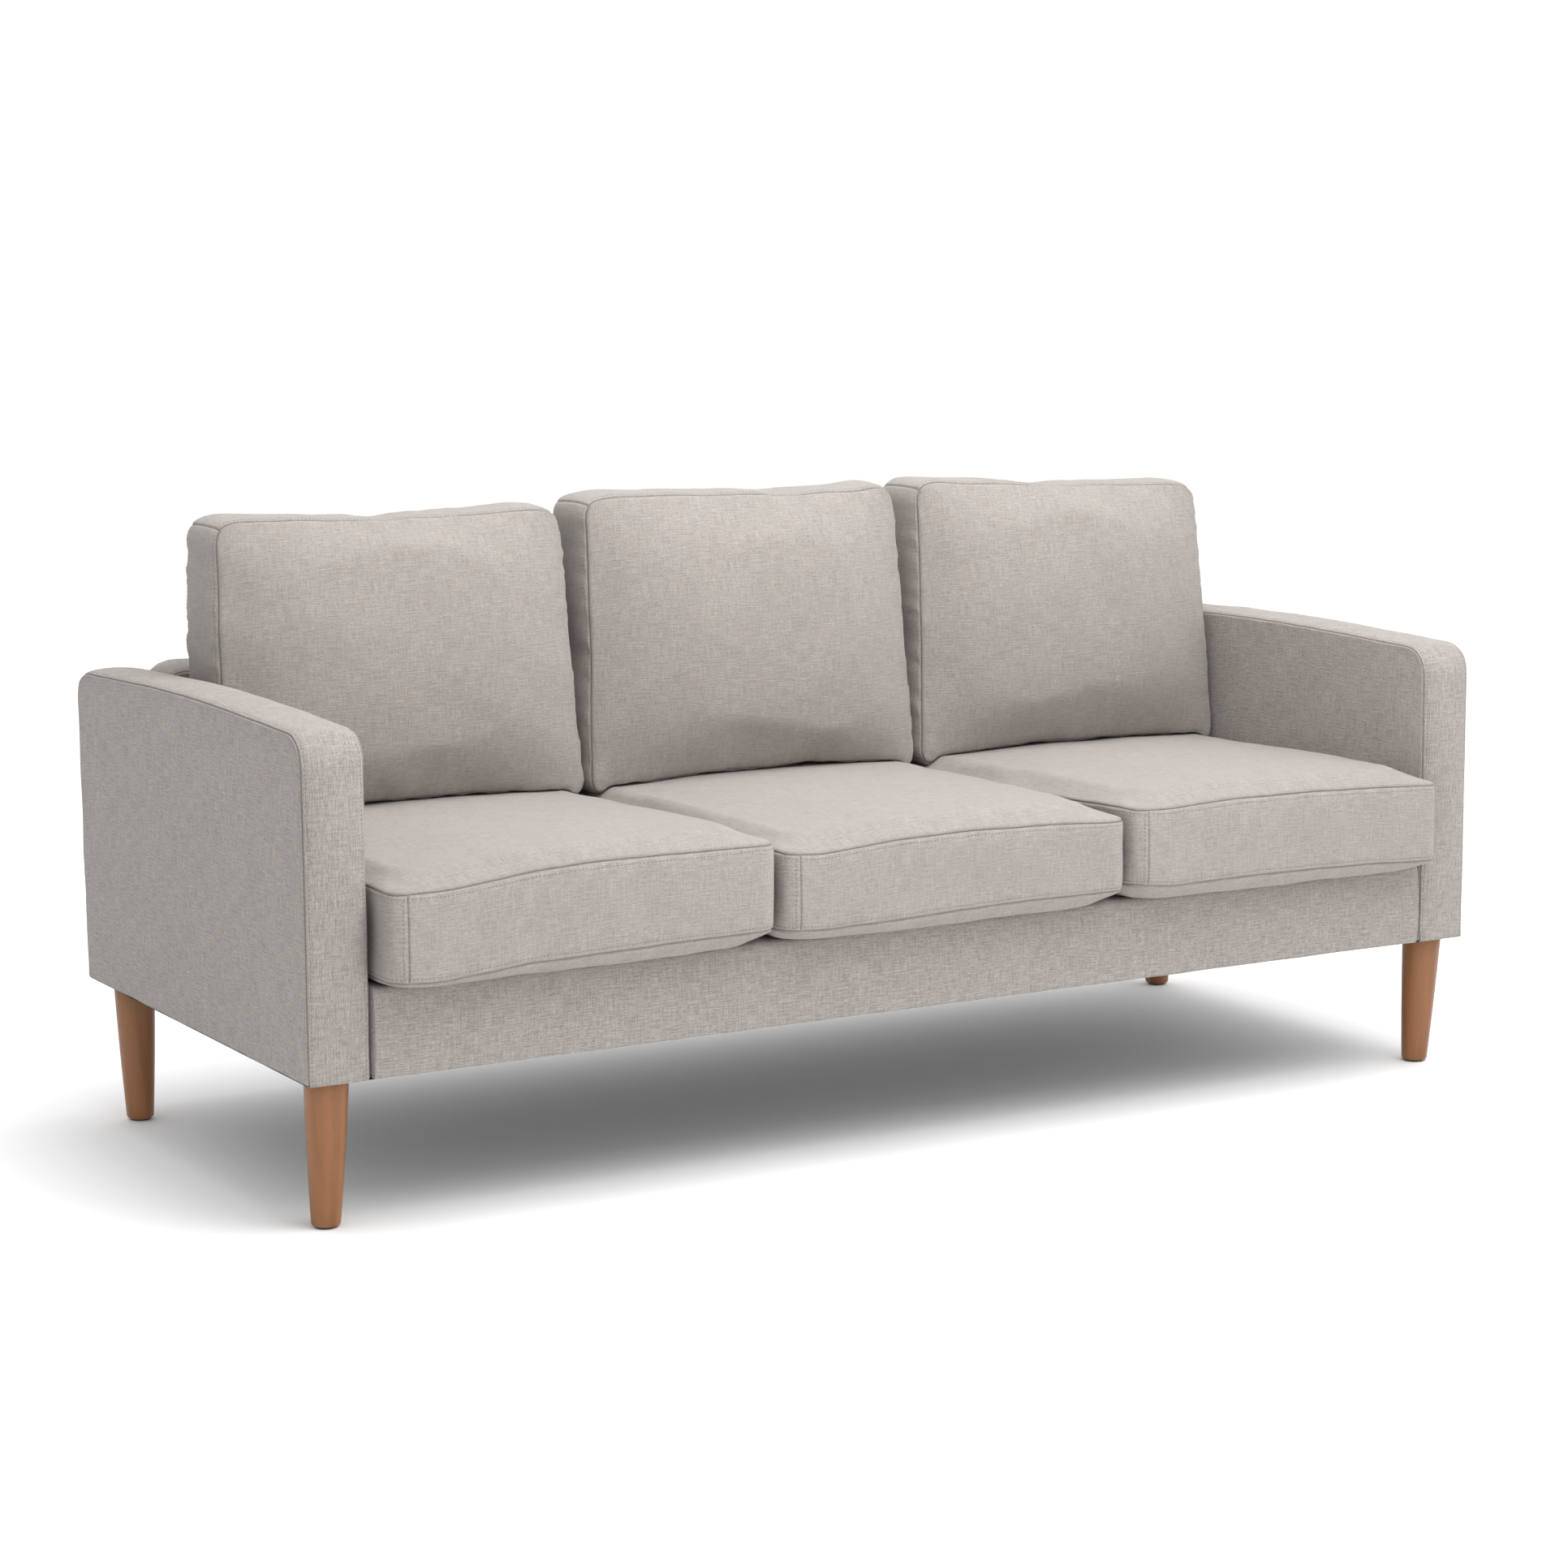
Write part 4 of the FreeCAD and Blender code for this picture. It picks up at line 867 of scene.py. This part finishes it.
def make_back():
    half, high, rear_high = 0.8568, 0.641, 0.628
    counts = (122, 24)
    face = rounded_panel(half, half, DECK_TOP, high, (0.002, 0.036), counts)
    lift = dome(face.shape, 4)
    x, z = face[..., 0], face[..., 1]
    rear_z = FRAME_LOW + (z - DECK_TOP) * (rear_high - FRAME_LOW) / (high - DECK_TOP)
    rear = grid_of(x, 0.419 + (rear_z - 0.197) * 0.0295 + 0.003 * lift, rear_z)
    front = grid_of(x, 0.3335 - 0.002 * lift, z)
    outline = np.concatenate([rim(face)[-1:], rim(face), rim(face)[:1]])
    way = outline[2:] - outline[:-2]
    rise = -way[:, 0] / np.linalg.norm(way, axis=1)
    slab = Slab.between(rear, front, 8, 0.019 * np.clip(rise, 0, 1) ** 1.5)
    share = np.linspace(0, 1, 9)
    foot = ((0, 0.419, FRAME_LOW), (0.15, 0.4128, 0.1974), (0.5, 0.4128, 0.3120), (0.62, 0.4065, DECK_TOP),
            (1, 0.3335, DECK_TOP))
    along, *foot = np.array(foot).T
    for axis, places_there in zip((1, 2), foot):
        slab.strip[1:-1, 1:counts[0], axis] = np.interp(share, along, places_there)[1:-1, None]
    size = (2 * half, 0.40, 0.11)
    slab = slab.refined(size, 0.009)
    slab.detailed(0.006, 0.0010, 0.0004, 0.0009, 90)
    slab_object("back_upholstery", slab, "carcass", ("back_cover", "back_padding"))
    lines = slab.stitch_rows((size[0] + 0.02, 2 * size[0] + 2 * size[1] - 0.02))
    stitch_object("back_topstitch", lines, "carcass")


def swept(name, profile, x_low, x_high, spacing, material, bend=0.0, seed=5):
    """A closed form with one section along X and capped ends. The profile is clockwise seen from +X."""
    run = travelled(np.vstack([profile, profile[:1]]))
    x = np.sort(np.concatenate([np.linspace(x_low, x_high, round((x_high - x_low) / spacing) + 1),
                                [x_low + 0.002, x_high - 0.002]]))
    body = grid_of(x, profile[:, :1], profile[:, 1:])
    outward = grid_normals(np.concatenate([body, body[:1]]))[:-1]
    body -= outward * (bend * ripple(body, 0.12, seed))[..., None]
    index = np.arange(body[..., 0].size).reshape(body.shape[:2])
    around = np.concatenate([index, index[:1]])
    quads = cells(around, flip=True).tolist()
    points = body.reshape(-1, 3)
    uvs = [cells(np.stack(np.meshgrid(x, run), axis=-1), flip=True).reshape(-1, 2)]
    for ring in (index[::-1, 0], index[:, -1]):
        quads.append(ring.tolist())
        uvs.append(points[ring, 1:])
    return add_object(name, points, quads, np.concatenate(uvs), material)


def rounded_profile(corners, radii, spacing=0.004):
    """A section outline with rounded corners and even steps."""
    line = []
    corners = np.array(corners)
    for corner, before, after, radius in zip(corners, np.roll(corners, 1, 0), np.roll(corners, -1, 0), radii):
        start, end = corner + unit(before - corner) * radius, corner + unit(after - corner) * radius
        for t in np.linspace(0, 1, 6):
            line.append((1 - t) ** 2 * start + 2 * t * (1 - t) * corner + t * t * end)
    line = np.array(line + [line[0]])
    run = travelled(line)
    at = np.linspace(0, run[-1], max(16, round(run[-1] / spacing)) + 1)[:-1]
    return read_along(line, run, at)


def make_base():
    low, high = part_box("base_front_cover")
    rear = -0.3226
    profile = rounded_profile([(rear, FRAME_LOW), (rear, high.z), (low.y + 0.001, high.z),
                               (low.y - 0.001, FRAME_LOW)], (0.002, 0.004, 0.009, 0.004))
    face = profile[:, 0] < -0.362
    up = np.clip((profile[:, 1] - 0.2) / 0.11, 0, 1)
    profile[face, 0] -= 0.0028 * np.sin(math.pi * up[face])
    rail = swept("front_rail_upholstery", profile[::-1], low.x, high.x, 0.02, TIGHT_LINEN, 0.0005)
    hand_over(rail, "carcass", ("base_front_cover", "base_front_padding"))
    low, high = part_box("deck_cloth")
    under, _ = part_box("deck_pad")
    profile = rounded_profile([(high.y, under.z), (high.y, high.z), (low.y, high.z), (low.y, under.z)],
                              (0.002, 0.004, 0.004, 0.002), 0.012)
    deck = swept("seat_deck", profile[::-1], low.x, high.x, 0.03, LINING, 0.0004, 6)
    hand_over(deck, "carcass", ("deck_cloth", "deck_pad"))


def leg_ends(name):
    """The middles of a CAD leg's foot and top."""
    co = np.array([v.co for v in frame["nodes"][f"leg_{name}"].data.vertices])
    low, high = co[:, 2].min(), co[:, 2].max()
    rings = co[co[:, 2] < low + 0.001], co[co[:, 2] > high - 0.001]
    return [(ring.min(0) + ring.max(0)) / 2 for ring in rings]


def make_underside():
    """The cloth stapled under the frame, with a hole for each leg."""
    low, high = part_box("dust_cover")
    step, hole = 0.009, 0.0300
    x = np.linspace(low.x, high.x, round((high.x - low.x) / step) + 1)
    y = np.linspace(low.y, high.y, round((high.y - low.y) / step) + 1)
    grid = np.stack(np.meshgrid(x, y), axis=-1)
    edge = np.minimum(np.minimum(grid[..., 0] - low.x, high.x - grid[..., 0]),
                      np.minimum(grid[..., 1] - low.y, high.y - grid[..., 1]))
    sag = 0.0016 * np.clip(edge / 0.12, 0, 1) * (0.6 + 0.4 * ripple(grid, 0.2, 7))
    z = high.z - 0.0004 - sag
    keep = np.ones(grid.shape[:2], bool)
    for name in LEGS:
        centre = leg_ends(name)[1][:2]
        away = grid - centre
        distance = np.linalg.norm(away, axis=-1)
        keep &= distance > hole - step / 2
        pull = (distance > hole - step / 2) & (distance < hole + step / 2)
        grid[pull] = centre + away[pull] / distance[pull][:, None] * hole
    index = np.arange(keep.size).reshape(keep.shape)
    quads = cells(index, flip=True)
    quads = quads[keep.reshape(-1)[quads].all(axis=1)]
    used = np.unique(quads)
    points = np.concatenate([grid, z[..., None]], axis=-1).reshape(-1, 3)
    uvs = grid.reshape(-1, 2)[quads]
    piece = add_object("underside_cloth_sheet", points[used], np.searchsorted(used, quads), uvs, UNDERCLOTH)
    hand_over(piece, "carcass", ("dust_cover",))


def make_legs():
    """Turned legs that taper and lean a little, with an eased foot."""
    for name in LEGS:
        foot, top = leg_ends(name)
        low, tall = foot[2], top[2] - foot[2]
        foot_steps = (0, 0.0004, 0.0012, 0.0024, 0.004)
        heights = np.array([*foot_steps, 0.02, 0.05, 0.08, 0.11, 0.14, 0.17, tall - 0.0015, tall])
        taper = 0.019 + 0.010 * heights / tall + 0.0008 * np.sin(math.pi * heights / tall)
        ease = np.interp(heights, foot_steps, (0.0029, 0.0019, 0.0010, 0.0003, 0))
        radius = taper - ease
        radius[-1] -= 0.0008
        turn = np.linspace(0, 2 * math.pi, 65)[:-1]
        share = (heights / tall)[:, None]
        spine = foot[:2] * (1 - share) + top[:2] * share
        side = grid_of(spine[:, :1] + radius[:, None] * np.cos(turn),
                       spine[:, 1:] + radius[:, None] * np.sin(turn), (low + heights)[:, None])
        index = np.arange(side[..., 0].size).reshape(side.shape[:2])
        quads = cells(closed(index)).tolist()
        quads += [index[0, ::-1].tolist(), index[-1].tolist()]
        piece = add_object(f"leg_{name}_turned", side.reshape(-1, 3), quads, None, SLOT_LOOKS["leg_wood"])
        piece.data.polygons.foreach_set("use_smooth", np.array([len(quad) == 4 for quad in quads]))
        hand_over(piece, "carcass", (f"leg_{name}",))


def make_springs():
    """Sinuous springs under the deck, as wire curves."""
    low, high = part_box("base_springs")
    count, pitch, turns, wire, reach = 12, 0.143, 18, 0.002, 0.030
    curve = bpy.data.curves.new("sinuous_springs", "CURVE")
    curve.dimensions = "3D"
    curve.bevel_depth = wire
    curve.bevel_resolution = 1
    curve.resolution_u = 3
    y = np.linspace(low.y + wire, high.y - wire, 2 * turns + 2)
    for number in range(count):
        line = curve.splines.new("NURBS")
        x = np.where(np.arange(len(y)) % 2 == 0, -reach, reach) + (number - (count - 1) / 2) * pitch
        line.points.add(len(y) - 1)
        for point, a, b in zip(line.points, x, y):
            point.co = (a, b, (low.z + high.z) / 2, 1)
        line.order_u = 3
        line.use_endpoint_u = True
    curve.materials.append(SLOT_LOOKS["spring_steel"])
    hand_over(linked("sinuous_springs", curve), "carcass", ("base_springs",))


def dress_cad_nodes():
    """Give every carried-over node its slot's material."""
    slots = {entry["node"]: entry["material_slot"] for entry in frame["record"]["subparts"]}
    for name, node in frame["nodes"].items():
        node.data.materials.clear()
        node.data.materials.append(SLOT_LOOKS[slots[name]])


# ---------------- studio
def make_studio():
    camera = bpy.data.cameras.new("camera")
    camera.lens = 82.57
    camera.sensor_width = 36
    eye = linked("camera", camera)
    eye.location = (-2.689, -4.443, 1.265)
    eye.rotation_euler = (math.radians(81.17), math.radians(0.022), math.radians(-30.88))
    bpy.context.scene.camera = eye

    look = Look("studio_floor", flat=False)
    dust = look.noise((3, 3, 3), 4.0)
    color = look.blend(look.spread(dust), (0.93,) * 3, (0.95,) * 3)
    look.finish(color, look.spread(dust, 0.8, 0.9), dust, 0.0001)
    corners = [(-40, -40, 0), (40, -40, 0), (40, 40, 0), (-40, 40, 0)]
    add_object("floor", corners, [(0, 1, 2, 3)], None, look.material)

    world = bpy.data.worlds.new("studio")
    world.use_nodes = True
    sky = world.node_tree
    background = sky.nodes["Background"]
    background.inputs[0].default_value = (1.0,) * 4
    split = sky.nodes.new("ShaderNodeSeparateXYZ")
    sky.links.new(sky.nodes.new("ShaderNodeTexCoord").outputs["Generated"], split.inputs[0])
    dim_side = sky.nodes.new("ShaderNodeMapRange")
    for index, value in ((1, -0.9), (2, 0.15), (3, 0.68), (4, 1.23)):
        dim_side.inputs[index].default_value = value
    sky.links.new(split.outputs["X"], dim_side.inputs[0])
    sky.links.new(dim_side.outputs[0], background.inputs[1])
    bpy.context.scene.world = world
    lamps = (("overhead", (0.4, -0.5, 3.4), 3.0, 86), ("front", (0.1, -1.3, 2.3), 1.8, 24))
    for name, place, size, power in lamps:
        lamp = bpy.data.lights.new(name, "AREA")
        lamp.size = size
        lamp.energy = power
        piece = linked(name, lamp)
        piece.location = place
        piece.rotation_euler = (Vector((0, 0, 0.4)) - Vector(place)).to_track_quat("-Z", "Y").to_euler()
    bpy.context.scene.view_settings.view_transform = "Standard"


make_studio()
dress_cad_nodes()
make_arms()
make_back()
make_base()
make_underside()
make_legs()
make_springs()
make_cushions()
